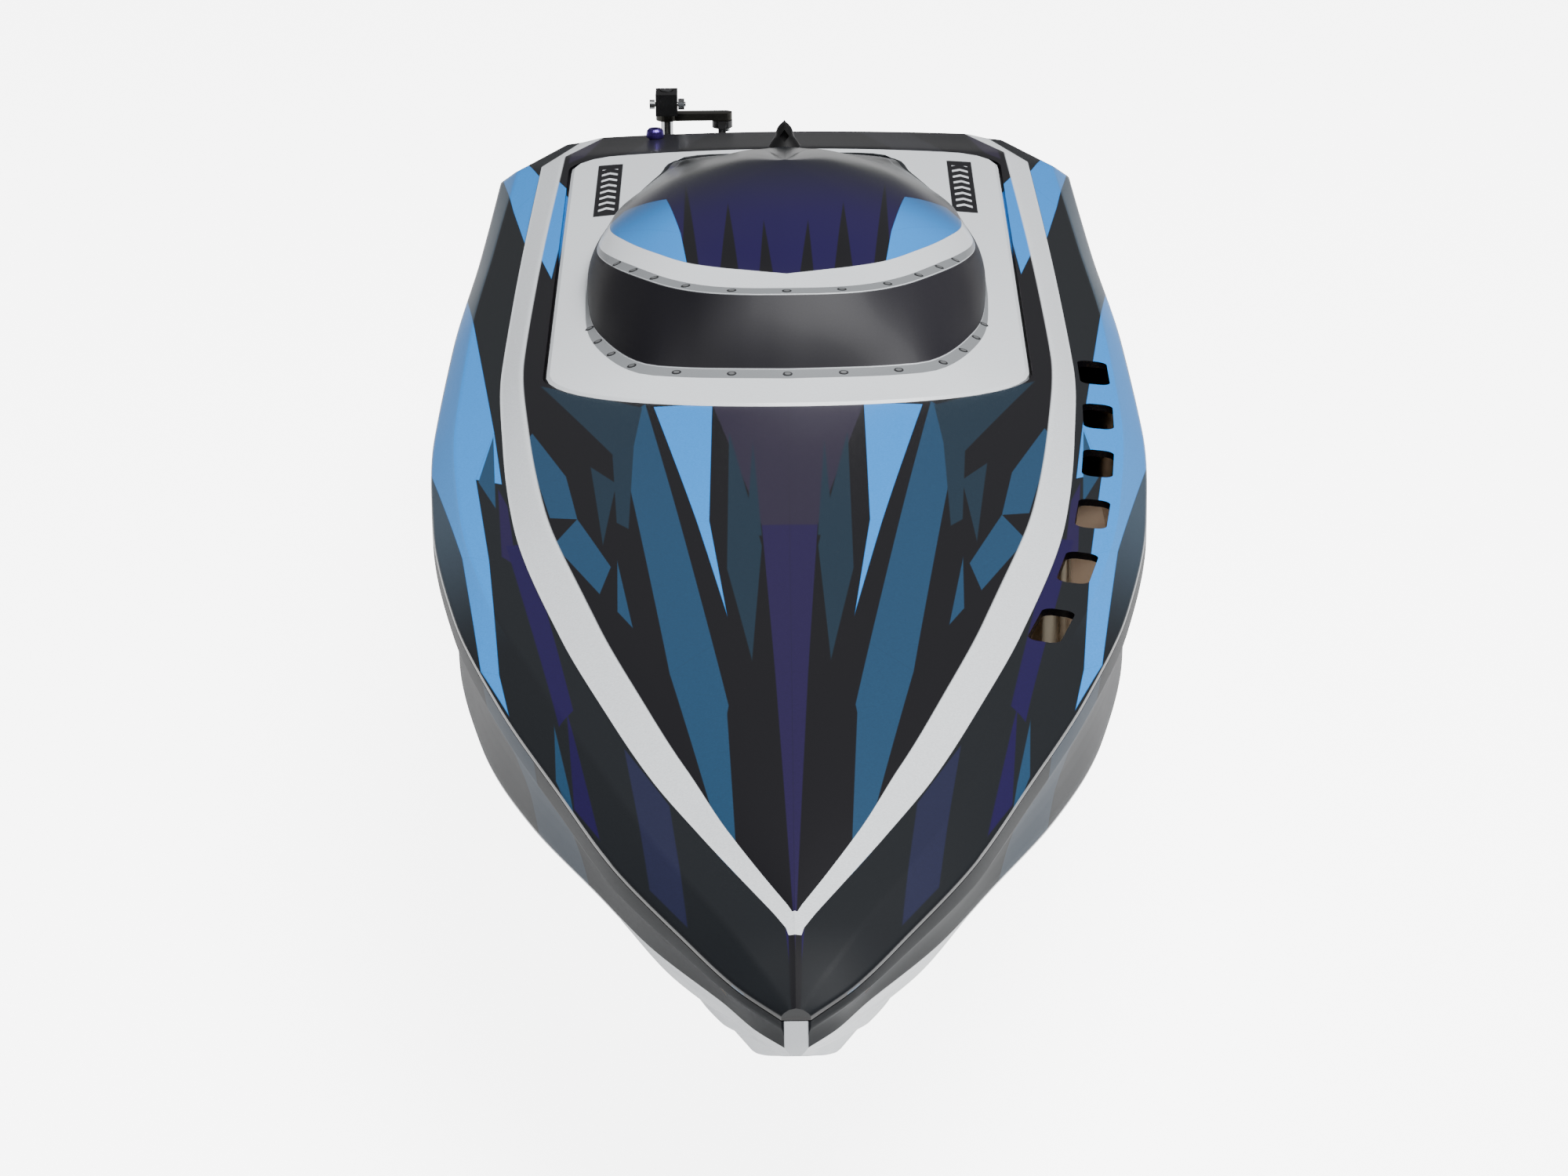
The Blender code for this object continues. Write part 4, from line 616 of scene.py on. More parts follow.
@dataclass(frozen=True)
class Slots:
    """The flood slots along the port side deck."""

    count: int = 6
    length: float = 0.030
    width: float = 0.0105
    pitch: float = 0.0548
    to_transom: float = 0.357
    rounding: float = 0.0036

    def places(self, lines: Lines) -> list[tuple[float, float, float]]:
        """Centre and heading of each slot."""
        found = []
        for index in range(self.count):
            y = lines.transom - self.to_transom - index * self.pitch
            ahead, middle, behind = [self.strip_middle(lines, y + step) for step in (-0.005, 0.0, 0.005)]
            found.append((middle, y, math.atan2(behind - ahead, 0.010)))
        return found

    def strip_middle(self, lines: Lines, y: float) -> float:
        """X of the middle of the strip between the stripe's foot and the crease."""
        foot, crease = lines.deck_corners(y)[-3:-1]
        return (foot.x + crease.x) / 2

    def outline(self, centre: tuple[float, float], heading: float) -> list[tuple[float, float]]:
        """A slot's outline, a rounded oblong turned by a heading."""
        half_x = self.width / 2 - self.rounding
        half_y = self.length / 2 - self.rounding
        corners = ((half_x, half_y), (-half_x, half_y), (-half_x, -half_y), (half_x, -half_y))
        points = []
        for quarter, corner in enumerate(corners):
            points += arc(corner, self.rounding, 90 * quarter, 90 * quarter + 90, 6)
        cos, sin = math.cos(heading), math.sin(heading)
        return [(centre[0] + x * cos + y * sin, centre[1] - x * sin + y * cos) for x, y in points]


@dataclass
class HullMoulding:
    """The two mouldings: the hull and the deck."""

    lines: Lines
    plan: HatchPlan
    slots: Slots
    easing: float = 0.0013

    def rings(self, halves: dict[float, list[Vector]]) -> tuple[list, list]:
        """Full rings and labels from half sections."""
        pairs = [full_ring(y, half) for y, half in halves.items()]
        return [ring for ring, _ in pairs], [marks for _, marks in pairs]

    def build_hull(self, material: bpy.types.Material) -> bpy.types.Object:
        """Make the hull moulding.

        Args:
            material: Its paint.

        Returns:
            The hull.
        """
        lines = self.lines
        halves = {}
        for y in lines.stations(lines.bow, lines.transom, SECTION_STATIONS):
            half = eased(lines.hull_corners(y), 0.0009, 2)
            halves[y] = half + [Vector((0.0, half[-1].y, 5.0))]
        hull = loft("hull_moulding", *self.rings(halves), material)
        inside = {}
        for y in lines.stations(lines.bow + lines.solid_bow, lines.transom - lines.transom_wall, 40):
            inside[y] = self.hull_inside(y)
        cut(hull, loft("hull_cavity", *self.rings(inside)), *self.through_holes())
        shade(hull)
        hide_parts("hull_shell")
        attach(hull, "root")
        return hull

    def hull_inside(self, y: float) -> list[Vector]:
        """Half section of the hull's inner surface."""
        lines = self.lines
        pad, chine, chine_z = lines.bottom(y)[1:]
        rim_z = lines.gunwale_z(y) - lines.lip
        side = chine - lines.wall
        reach = lines.gunwale(y)
        points = [(x, lines.floor(x, y)) for x in (0.0, pad, side)]
        points.append((side + 0.2 * (reach - chine), (chine_z + rim_z) / 2))
        points += [(reach - lines.rim, rim_z - 0.010), (reach - lines.rim, rim_z + 0.010)]
        points.append((0.0, rim_z + 0.010))
        return [Vector((x, z, 6.0)) for x, z in points]

    def through_holes(self) -> list[bpy.types.Object]:
        """Cutters for what passes through the hull."""
        low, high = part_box("drain_plug")
        holes = [self.drill("drain", (low + high) / 2, Vector((0, 1, 0)), 0.0043)]
        low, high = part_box("cooling_outlet")
        holes.append(self.drill("outlet", (low + high) / 2, Vector((0, 1, 0)), 0.0033))
        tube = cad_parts["stuffing_tube"].data.vertices
        near = [vert.co for vert in tube if -0.004 < vert.co.z < 0.007]
        middle = sum(near, Vector()) / len(near)
        front = [co for co in near if co.y < middle.y]
        ahead = sum(front, Vector()) / len(front)
        holes.append(self.drill("tube", middle, (middle - ahead).normalized(), 0.0040))
        return holes

    def drill(self, name: str, middle: Vector, axis: Vector, radius: float) -> bpy.types.Object:
        """A round cutter about a point."""
        profile = [(0.0, 0.03), (radius, 0.03), (radius, -0.03), (0.0, -0.03)]
        return turned("cut_" + name, profile, middle, axis, None, 32)

    def build_deck(self, material: bpy.types.Material) -> bpy.types.Object:
        """Make the deck moulding with its recess, hatch and slots.

        Args:
            material: Its paint.

        Returns:
            The deck.
        """
        lines, plan = self.lines, self.plan
        halves = {}
        for y in lines.stations(lines.bow, lines.transom, SECTION_STATIONS):
            half = lines.deck_corners(y)
            low = half[-1].y - lines.lip
            half.append(Vector((half[-1].x, low, 5.0)))
            halves[y] = eased(half, self.easing) + [Vector((0.0, low, 6.0))]
        deck = loft("deck_moulding", *self.rings(halves), material)
        under = {}
        for y in lines.stations(lines.bow + lines.solid_bow, lines.transom - lines.transom_wall, 40):
            under[y] = self.deck_inside(y)
        space = loft("deck_space", *self.rings(under))
        ledge = plan.outline(-plan.recess_gap - plan.ledge_thickness)
        cut(space, prism("ledge", ledge, plan.floor - plan.ledge_thickness, plan.floor + 0.03))
        recess = prism("recess", plan.outline(-plan.recess_gap), plan.floor, plan.floor + 0.04)
        hatch = prism("hatch", plan.outline(plan.ledge), plan.floor - 0.02, plan.floor + 0.02)
        openings = []
        for index, (x, y, heading) in enumerate(self.slots.places(lines)):
            z = lines.deck_z(x, y)
            outline = self.slots.outline((x, y), heading)
            openings.append(prism("slot_%d" % index, outline, z - 0.012, z + 0.012))
        low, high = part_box("pushrod_boot")
        openings.append(self.drill("rod", (low + high) / 2, Vector((0, 1, 0)), 0.0034))
        low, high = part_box("antenna_socket")
        openings.append(self.drill("socket", (low + high) / 2, Vector((0, 0, 1)), 0.0028))
        cut(deck, space, recess, hatch, *openings)
        shade(deck)
        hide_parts("deck_shell")
        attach(deck, "root")
        return deck

    def deck_inside(self, y: float) -> list[Vector]:
        """Half section of the space under the deck."""
        lines = self.lines
        half = lines.deck_corners(y)
        rim = lines.gunwale(y) - lines.rim
        points = [(p.x, p.y - lines.wall) for p in half[:9:2]]
        crease = min(half[-2].x - 0.5 * lines.wall, rim - THIN)
        foot = min(half[-3].x - 0.3 * lines.wall, crease - THIN)
        points += [(foot, half[-3].y - lines.wall), (crease, half[-2].y - lines.wall)]
        low = half[-1].y - lines.lip - 0.010
        points += [(rim, half[-1].y - THIN), (rim, low), (0.0, low)]
        return [Vector((x, z, 6.0)) for x, z in points]


# ---------------------------------------------------------------- canopy


@dataclass
class Canopy:
    """The lift-off canopy: flange, lower band, windshield, upper band and dome.

    The contours are (x, y from the flange's nose, z above the hatch floor), from the front
    centre round the port side to the rear centre, the same as the frame's.
    """

    lines: Lines
    plan: HatchPlan
    wall: float = 0.0018
    bottom: float = 0.0018
    proud: float = 0.0006
    band: float = 0.0075
    half_steps: int = 72
    peak_share: float = 0.56
    peak_rise: float = 0.0425
    foot: tuple = (
        (0.0, 0.0245, 0.0110), (0.038, 0.0295, 0.0105), (0.056, 0.0415, 0.0100),
        (0.0695, 0.0845, 0.0085), (0.073, 0.1345, 0.0080), (0.0725, 0.1795, 0.0075),
        (0.068, 0.2295, 0.0070), (0.060, 0.2795, 0.0065), (0.050, 0.3295, 0.0060),
        (0.041, 0.3600, 0.0055), (0.0, 0.3660, 0.0055),
    )
    brow: tuple = (
        (0.0, 0.0495, 0.0345), (0.015, 0.0508, 0.0343), (0.0285, 0.0560, 0.0337),
        (0.0395, 0.0665, 0.0327), (0.049, 0.0815, 0.0315), (0.0615, 0.1145, 0.0275),
        (0.0685, 0.1550, 0.0215), (0.0690, 0.1900, 0.0175),
        (0.065, 0.2295, 0.0150), (0.057, 0.2795, 0.0120), (0.047, 0.3295, 0.0085),
        (0.039, 0.3580, 0.0065), (0.0, 0.3630, 0.0068),
    )
    dome: tuple = (
        (0.0, 0.0745, 0.0350), (0.031, 0.0895, 0.0345), (0.047, 0.1145, 0.0325),
        (0.0585, 0.1475, 0.0285), (0.0650, 0.1825, 0.0240), (0.0625, 0.2295, 0.0195),
        (0.0535, 0.2795, 0.0150), (0.0435, 0.3295, 0.0100), (0.036, 0.3540, 0.0080),
        (0.0, 0.3600, 0.0083),
    )
    shoulder: tuple = (
        (0.0, 0.1100, 0.0392), (0.020, 0.1200, 0.0387), (0.036, 0.1450, 0.0370),
        (0.044, 0.1795, 0.0347), (0.042, 0.2295, 0.0310), (0.035, 0.2795, 0.0238),
        (0.027, 0.3200, 0.0165), (0.020, 0.3450, 0.0118), (0.0, 0.3500, 0.0118),
    )
    crest: tuple = (
        (0.0, 0.1495, 0.0420), (0.012, 0.1595, 0.0417), (0.020, 0.1795, 0.0410),
        (0.020, 0.2195, 0.0390), (0.017, 0.2595, 0.0325), (0.012, 0.2995, 0.0245),
        (0.008, 0.3245, 0.0185), (0.0, 0.3295, 0.0182),
    )

    @property
    def peak(self) -> Vector:
        """Top of the dome."""
        y = self.plan.front + self.plan.length * self.peak_share
        return Vector((0.0, y, self.plan.floor + self.peak_rise))

    def half_contour(self, table: tuple) -> list[Vector]:
        """The port half of a contour, evenly resampled."""
        route = [Vector((x, self.plan.front + y, self.plan.floor + z)) for x, y, z in table]
        half = even_points(spread(route), self.half_steps)
        for point in half:
            point.x = max(point.x, 0.0)
        half[0].x = 0.0
        half[-1].x = 0.0
        return half

    def half_flange(self, inset: float, on_deck: bool) -> list[Vector]:
        """The port half of the flange's edge, at its bottom or on the deck."""
        route = [Vector((x, y, 0.0)) for x, y in self.plan.half_outline(inset)]
        half = even_points(route, self.half_steps)
        for point in half:
            on_top = self.lines.deck_z(point.x, point.y) + self.proud
            point.z = on_top if on_deck else self.plan.floor + self.bottom
        return half

    def fade(self, index: int) -> float:
        """Width of the bands at a step round the contour: full ahead, nothing aft."""
        share = index / self.half_steps
        return 1.0 if share < 0.22 else max(0.0, 1.0 - (share - 0.22) / 0.26) ** 0.8

    def rows(self) -> list[tuple[float, list[Vector]]]:
        """Half rows from the flange's bottom edge to the crest, each with its label."""
        lip = self.half_flange(0.0, False)
        edge = self.half_flange(0.0, True)
        edge_in = self.half_flange(0.0012, True)
        contours = (self.foot, self.brow, self.dome, self.shoulder, self.crest)
        foot, brow, dome, shoulder, crest = [self.half_contour(table) for table in contours]
        peak = self.peak
        low_edge = [point - Vector((0, 0, 0.0009)) for point in edge]
        blend = [a.lerp(b, 0.94) for a, b in zip(edge_in, foot)]
        sill = []
        cheek = []
        for index, (low, high, back) in enumerate(zip(foot, brow, dome)):
            run = Vector((high.x - low.x, high.y - low.y, 0.0))
            reach = min(self.band * self.fade(index), 0.3 * run.length)
            lift = Vector((0, 0, 0.0012 * self.fade(index) if run.length > 0 else 0.0))
            sill.append(low + run.normalized() * reach + lift)
            run = Vector((back.x - high.x, back.y - high.y, 0.0))
            reach = min(self.band * self.fade(index), 0.7 * run.length)
            cheek.append(high.lerp(back, reach / max(run.length, 1e-6)))
        result = [(0.0, lip), (0.8, low_edge), (1.0, edge_in), (1.9, blend), (2.0, foot), (3.0, sill)]
        for step in range(1, 9):
            s = step / 9
            bulge = 0.0016 * math.sin(math.pi * s)
            row = []
            for low, high in zip(sill, brow):
                out = Vector((low.x, low.y - peak.y, 0.0))
                row.append(low.lerp(high, s) + out.normalized() * bulge)
            result.append((3.0 + s, row))
        result += [(4.0, brow), (5.0, cheek)]
        for step in range(1, 4):
            s = step / 4
            result.append((5.0 + s, [a.lerp(b, s) for a, b in zip(cheek, dome)]))
        controls = [brow, dome, shoulder, crest, [peak] * len(crest)]
        ribs = [spread([row[index] for row in controls], 10) for index in range(len(crest))]
        for step in range(10, 40):
            result.append((5.0 + step / 10, [rib[step] for rib in ribs]))
        return result

    def build(self, material: bpy.types.Material) -> bpy.types.Object:
        """Make the canopy.

        Args:
            material: Its paint.

        Returns:
            The canopy.
        """
        rows = self.rows()
        work = bmesh.new()
        layer = work.loops.layers.uv.new("lines")
        tags = {}
        strips = []
        for label, half in rows:
            ring = half + [Vector((-p.x, p.y, p.z)) for p in reversed(half[1:-1])]
            verts = [work.verts.new(point) for point in ring]
            for index, vert in enumerate(verts):
                around = min(index, len(verts) - index) / self.half_steps
                tags[vert] = (around, label)
            strips.append(verts)
        peak = work.verts.new(self.peak)
        tags[peak] = (0.5, 9.0)
        for near, far in zip(strips, strips[1:]):
            bridge(work, near, far)
        for first, second in zip(strips[-1], strips[-1][1:] + strips[-1][:1]):
            work.faces.new((first, second, peak))
        for face in work.faces:
            for corner in face.loops:
                corner[layer].uv = tags[corner.vert]
        bmesh.ops.remove_doubles(work, verts=work.verts, dist=0.00001)
        canopy = finished(work, "canopy_moulding", material)
        if sum(face.normal.z * face.area for face in canopy.data.polygons) < 0:
            canopy.data.flip_normals()
        thick = canopy.modifiers.new("wall", "SOLIDIFY")
        thick.thickness = self.wall
        thick.offset = -1.0
        settle(canopy)
        low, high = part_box("latch_knob")
        profile = [(0.0, 0.01), (0.0030, 0.01), (0.0030, -0.03), (0.0, -0.03)]
        foot = Vector((0, (low.y + high.y) / 2, self.plan.floor + 0.010))
        cut(canopy, turned("cut_latch", profile, foot, (0, 0, 1), None))
        shade(canopy, 24.0)
        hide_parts("canopy_shell")
        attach(canopy, "canopy")
        return canopy


# ---------------------------------------------------------------- paint


def tint(red: int, green: int, blue: int) -> tuple[float, float, float, float]:
    """A display colour as a linear one, for shaders."""
    def linear(value: int) -> float:
        share = value / 255
        return share / 12.92 if share <= 0.04045 else ((share + 0.055) / 1.055) ** 2.4

    return linear(red), linear(green), linear(blue), 1.0


class Tint(Enum):
    """The livery's colours, and two painted reflections: a pale glare on the deck's outer facet and a grey
    band on the black windshield.
    """

    BLACK = (13, 12, 17)
    CARBON = (20, 23, 27)
    AZURE = (44, 138, 222)
    TEAL = (28, 62, 90)
    SLATE = (22, 40, 54)
    PURPLE = (30, 20, 60)
    PLUM = (38, 32, 50)
    NAVY = (28, 30, 56)
    VIOLET = (24, 12, 62)
    GREY = (30, 30, 36)
    # Painted reflection: pale glare washed thinly over the deck's outer facet.
    MIST = (104, 128, 150)
    FROST = (40, 54, 68)
    WHITE = (226, 230, 234)
    RING = (128, 131, 134)
    # Painted reflection: the grey left in a band across the black windshield.
    PAINTED_REFLECTION = (34, 33, 38)
    TAN = (196, 172, 150)

    @property
    def linear(self) -> tuple[float, float, float, float]:
        """The colour for a shader."""
        return tint(*self.value)


@dataclass(frozen=True)
class Shard:
    """One flat patch of the livery, mirrored to both sides.

    Points run round it as (x, y) or, on the topsides, (y, z), in millimetres.
    """

    colour: Tint
    points: tuple

    def edges(self) -> list[Vector]:
        """Coefficients of its sides, each positive inwards, the last repeated up to four."""
        sides = list(zip(self.points, self.points[1:] + self.points[:1]))
        area = sum(a[0] * b[1] - b[0] * a[1] for a, b in sides)
        found = []
        for start, end in sides:
            run = Vector((end[0] - start[0], end[1] - start[1]))
            side = Vector((-run.y, run.x)).normalized() * (1 if area > 0 else -1)
            found.append(Vector((side.x, side.y, -side.x * start[0] - side.y * start[1])))
        return (found + [found[-1]] * 4)[:4]


class Wiring:
    """A node tree, with short ways to add nodes already joined up."""

    def __init__(self, tree: bpy.types.NodeTree) -> None:
        """Take a tree.

        Args:
            tree: The node tree.
        """
        self.tree = tree

    def add(self, kind: str, inputs: dict | None = None, **settings) -> bpy.types.Node:
        """Add one node.

        Args:
            kind: The node's type.
            inputs: A socket or a value for each input, by its name or number.
            settings: The node's own properties.

        Returns:
            The node.
        """
        node = self.tree.nodes.new(kind)
        for name, value in settings.items():
            setattr(node, name, value)
        for key, value in (inputs or {}).items():
            if isinstance(value, bpy.types.NodeSocket):
                self.tree.links.new(value, node.inputs[key])
            else:
                node.inputs[key].default_value = value
        return node

    def calc(self, operation: str, *values, clamp: bool = False) -> bpy.types.NodeSocket:
        """One math node on sockets or numbers, and its result."""
        node = self.add("ShaderNodeMath", dict(enumerate(values)), operation=operation, use_clamp=clamp)
        return node.outputs[0]


def node_group(name: str, kind: str, inputs: list, output: tuple) -> tuple[Wiring, bpy.types.Node]:
    """Start a shared node group.

    Args:
        name: Its name.
        kind: Its tree type.
        inputs: A name and a socket type for each input.
        output: The name and socket type of its output.

    Returns:
        The group's wiring and the node that its inputs come from.
    """
    wiring = Wiring(bpy.data.node_groups.new(name, kind))
    for label, socket in inputs:
        wiring.tree.interface.new_socket(label, in_out="INPUT", socket_type="NodeSocket" + socket)
    wiring.tree.interface.new_socket(output[0], in_out="OUTPUT", socket_type="NodeSocket" + output[1])
    return wiring, wiring.add("NodeGroupInput")


def shard_group() -> bpy.types.NodeTree:
    """The shared group that masks one patch with up to four straight sides."""
    sides = ["Side " + side for side in "ABCD"]
    sockets = [(name, "Vector") for name in ("Place", *sides)]
    wiring, entry = node_group("shard_mask", "ShaderNodeTree", sockets, ("Mask", "Float"))
    least = None
    for side in sides:
        ends = {0: entry.outputs["Place"], 1: entry.outputs[side]}
        reach = wiring.add("ShaderNodeVectorMath", ends, operation="DOT_PRODUCT").outputs["Value"]
        least = reach if least is None else wiring.calc("MINIMUM", least, reach)
    wiring.add("NodeGroupOutput", {0: wiring.calc("MULTIPLY_ADD", least, 4.0, 0.5, clamp=True)})
    return wiring.tree


def flake_group() -> bpy.types.NodeTree:
    """The shared group that varies a colour's brightness like fine metal flake."""
    sockets = [("Colour", "Color"), ("Scale", "Float"), ("Amount", "Float")]
    wiring, entry = node_group("flake", "ShaderNodeTree", sockets, ("Colour", "Color"))
    place = wiring.add("ShaderNodeTexCoord").outputs["Object"]
    noise = wiring.add("ShaderNodeTexNoise", {"Vector": place, "Scale": entry.outputs["Scale"], "Detail": 1.0})
    centred = wiring.calc("SUBTRACT", noise.outputs[0], 0.5)
    gain = wiring.calc("MULTIPLY_ADD", centred, entry.outputs["Amount"], 1.0)
    tone = wiring.add("ShaderNodeVectorMath", {0: entry.outputs["Colour"], "Scale": gain}, operation="SCALE")
    wiring.add("NodeGroupOutput", {0: tone.outputs[0]})
    return wiring.tree


@dataclass
class Paintbox:
    """The shader node groups that every paint shares."""

    shard: bpy.types.NodeTree
    flake: bpy.types.NodeTree


class Brush(Wiring):
    """Builds one painted material, a layer at a time."""

    def __init__(self, box: Paintbox, name: str, base: Tint, roughness: float = 0.3) -> None:
        """Start a material.

        Args:
            box: The shared groups.
            name: The material's name.
            base: Its first colour.
            roughness: Its roughness.
        """
        self.box = box
        self.material = bpy.data.materials.new(name)
        self.material.use_nodes = True
        super().__init__(self.material.node_tree)
        self.tree.nodes.clear()
        gloss = {"Roughness": roughness, "Coat Weight": 0.3, "Coat Roughness": 0.16}
        self.shader = self.add("ShaderNodeBsdfPrincipled", gloss)
        first = self.add("ShaderNodeRGB")
        first.outputs[0].default_value = base.linear
        self.colour = first.outputs[0]
        place = self.add("ShaderNodeTexCoord").outputs["Object"]
        x, y, z = self.add("ShaderNodeSeparateXYZ", {0: place}).outputs
        self.across = self.both(self.calc("ABSOLUTE", x), 1000.0)
        self.side, self.along, self.up = [self.both(axis, 1000.0) for axis in (x, y, z)]
        self.plan = self.joined(self.across, self.along)
        self.profile = self.joined(self.along, self.up)
        lines = self.add("ShaderNodeUVMap", uv_map="lines")
        marks = self.add("ShaderNodeSeparateXYZ", {0: lines.outputs[0]})
        self.label = marks.outputs[1]

    def both(self, first, second) -> bpy.types.NodeSocket:
        """The product of two masks, or of a mask and a number."""
        return self.calc("MULTIPLY", first, second)

    def joined(self, first, second) -> bpy.types.NodeSocket:
        """Two sockets and a 1 as a vector."""
        return self.add("ShaderNodeCombineXYZ", {0: first, 1: second, 2: 1.0}).outputs[0]

    def between(self, value, low: float, high: float, gain: float = 60.0) -> bpy.types.NodeSocket:
        """A mask that is one where a value lies between two limits."""
        above = self.calc("MULTIPLY", self.calc("SUBTRACT", value, low), gain, clamp=True)
        below = self.calc("MULTIPLY", self.calc("SUBTRACT", high, value), gain, clamp=True)
        return self.both(above, below)

    def ramp(self, value, low: float, high: float) -> bpy.types.NodeSocket:
        """A value's share of the way between two limits."""
        limits = {"Value": value, "From Min": low, "From Max": high}
        return self.add("ShaderNodeMapRange", limits, interpolation_type="SMOOTHSTEP").outputs[0]

    def lay(self, mask, colour: Tint) -> None:
        """Lay a colour over what is there, through a mask."""
        mix = self.add("ShaderNodeMix", {}, data_type="RGBA")
        self.tree.links.new(mask, mix.inputs[0])
        self.tree.links.new(self.colour, mix.inputs[6])
        mix.inputs[7].default_value = colour.linear
        self.colour = mix.outputs[2]

    def shards(self, shards: tuple, place=None, where=None) -> None:
        """Lay patches over what is there.

        Args:
            shards: The patches, in order.
            place: The vector they are measured on; the plan if not given.
            where: A mask that they all keep to.
        """
        for shard in shards:
            inputs = dict(enumerate([place or self.plan, *shard.edges()]))
            mask = self.add("ShaderNodeGroup", inputs, node_tree=self.box.shard).outputs[0]
            self.lay(mask if where is None else self.both(mask, where), shard.colour)

    def dull(self, mask, amount: float) -> None:
        """Roughen the paint, and thin its clear coat, through a mask."""
        changes = {"Roughness": amount, "Coat Weight": -0.3, "Specular IOR Level": -1.2 * amount}
        for name, change in changes.items():
            socket = self.shader.inputs[name]
            level = self.calc("MULTIPLY_ADD", mask, change, socket.default_value)
            self.tree.links.new(self.calc("MAXIMUM", level, 0.02), socket)

    def done(self, flake: float = 0.35) -> bpy.types.Material:
        """Add the flake and finish the material.

        Args:
            flake: How much the brightness varies.

        Returns:
            The material.
        """
        inputs = {"Colour": self.colour, "Scale": 1500.0, "Amount": flake}
        node = self.add("ShaderNodeGroup", inputs, node_tree=self.box.flake)
        self.tree.links.new(node.outputs[0], self.shader.inputs["Base Color"])
        self.add("ShaderNodeOutputMaterial", {0: self.shader.outputs[0]})
        return self.material


@dataclass
class Livery:
    """The boat's paint scheme: deck, canopy and hull."""

    box: Paintbox
    foredeck: tuple = (
        Shard(Tint.PLUM, ((0, 24), (26, 24), (9, -110), (0, -110))),
        Shard(Tint.PURPLE, ((0, -110), (9, -110), (5, -240), (0, -240))),
        Shard(Tint.PURPLE, ((0, -240), (5, -240), (0, -420))),
        Shard(Tint.SLATE, ((20, -10), (20, -150), (12, -230), (9, -130))),
        Shard(Tint.SLATE, ((12, -20), (14, -120), (9, -120))),
        Shard(Tint.AZURE, ((26, 24), (46, 24), (30, -104), (26, -104))),
        Shard(Tint.AZURE, ((26, -104), (30, -104), (20, -189))),
        Shard(Tint.TEAL, ((49, 28), (59, 8), (37, -236), (24, -216))),
        Shard(Tint.TEAL, ((24, -216), (37, -236), (24, -332), (19, -264))),
        Shard(Tint.TEAL, ((19.5, -268), (24, -330), (17, -440), (14, -440))),
        Shard(Tint.SLATE, ((86, 60), (59, -28), (52, -20), (50, 24))),
        Shard(Tint.SLATE, ((59, -28), (56, -100), (52, -107), (52, -20))),
        Shard(Tint.TEAL, ((87, 4), (74, -48), (83, -53), (90, -10))),
        Shard(Tint.TEAL, ((74, -48), (69, -93), (78, -89), (83, -53))),
        Shard(Tint.TEAL, ((69, -93), (57, -141), (60, -164), (76, -115))),
        Shard(Tint.TEAL, ((55, -137), (49, -196), (54, -181))),
        Shard(Tint.SLATE, ((66, -40), (60, -120), (57, -60))),
        Shard(Tint.PURPLE, ((88, -60), (84, -130), (80, -95))),
    )
    side_deck: tuple = (
        Shard(Tint.AZURE, ((120, 229), (101, 25), (105, -27), (123, 0))),
        Shard(Tint.AZURE, ((101, 25), (96, -35), (105, -27))),
        Shard(Tint.AZURE, ((105, -27), (122, 1), (106, -105), (97, -113))),
        Shard(Tint.AZURE, ((97, -113), (106, -105), (96, -202), (90, -210))),
        Shard(Tint.AZURE, ((90, -210), (96, -202), (86, -240))),
        Shard(Tint.TEAL, ((101, 20), (97, -60), (104, -30))),
        Shard(Tint.PURPLE, ((97, -40), (93, -110), (88, -120), (93, -60))),
        Shard(Tint.AZURE, ((95, 375), (107, 433), (114, 415), (106, 334))),
        Shard(Tint.AZURE, ((95, 375), (106, 334), (99, 274))),
        Shard(Tint.NAVY, ((50, -282), (36, -325), (30, -398), (41, -373))),
        Shard(Tint.VIOLET, ((68, -250), (56, -337), (64, -314))),
        Shard(Tint.TEAL, ((72, -247), (66, -300), (62, -330), (70, -293))),
        Shard(Tint.VIOLET, ((85, -100), (92, -100), (70, -260), (66, -250))),
        Shard(Tint.VIOLET, ((0, -404), (3, -404), (1, -440), (0, -440))),
    )
    rear_deck: tuple = (
        Shard(Tint.AZURE, ((83, 337), (90, 364), (93, 244), (87, 206))),
        Shard(Tint.PLUM, ((60, 430), (80, 400), (88, 340), (84, 450))),
        Shard(Tint.GREY, ((30, 450), (50, 450), (64, 396), (44, 396))),
        Shard(Tint.GREY, ((92, 330), (96, 330), (97, 420), (88, 450))),
    )
    dome_shards: tuple = (
        Shard(Tint.BLACK, ((4, 85), (10, 85), (8, 150))),
        Shard(Tint.BLACK, ((16, 85), (24, 88), (21, 175))),
        Shard(Tint.BLACK, ((30, 90), (37, 95), (37, 220))),
        Shard(Tint.AZURE, ((34, 95), (72, 130), (70, 200), (38, 150))),
        Shard(Tint.AZURE, ((38, 150), (70, 200), (60, 226), (44, 205))),
        Shard(Tint.CARBON, ((0, 250), (30, 236), (60, 262), (0, 400))),
    )
    topside: tuple = (
        Shard(Tint.FROST, ((-300, 40), (-262, 100), (-190, 100), (-236, 60))),
        Shard(Tint.FROST, ((-300, 40), (-236, 60), (-250, 30), (-280, 20))),
    )

    def deck(self) -> bpy.types.Material:
        """Paint for the deck: shards, the white stripe and a painted reflection that lightens the outer facet.
        """
        brush = Brush(self.box, "deck_paint", Tint.BLACK)
        brush.shards(self.foredeck)
        brush.shards(self.rear_deck)
        outboard = brush.between(brush.label, 2.0, 4.6)
        brush.lay(outboard, Tint.CARBON)
        brush.shards(self.side_deck, where=outboard)
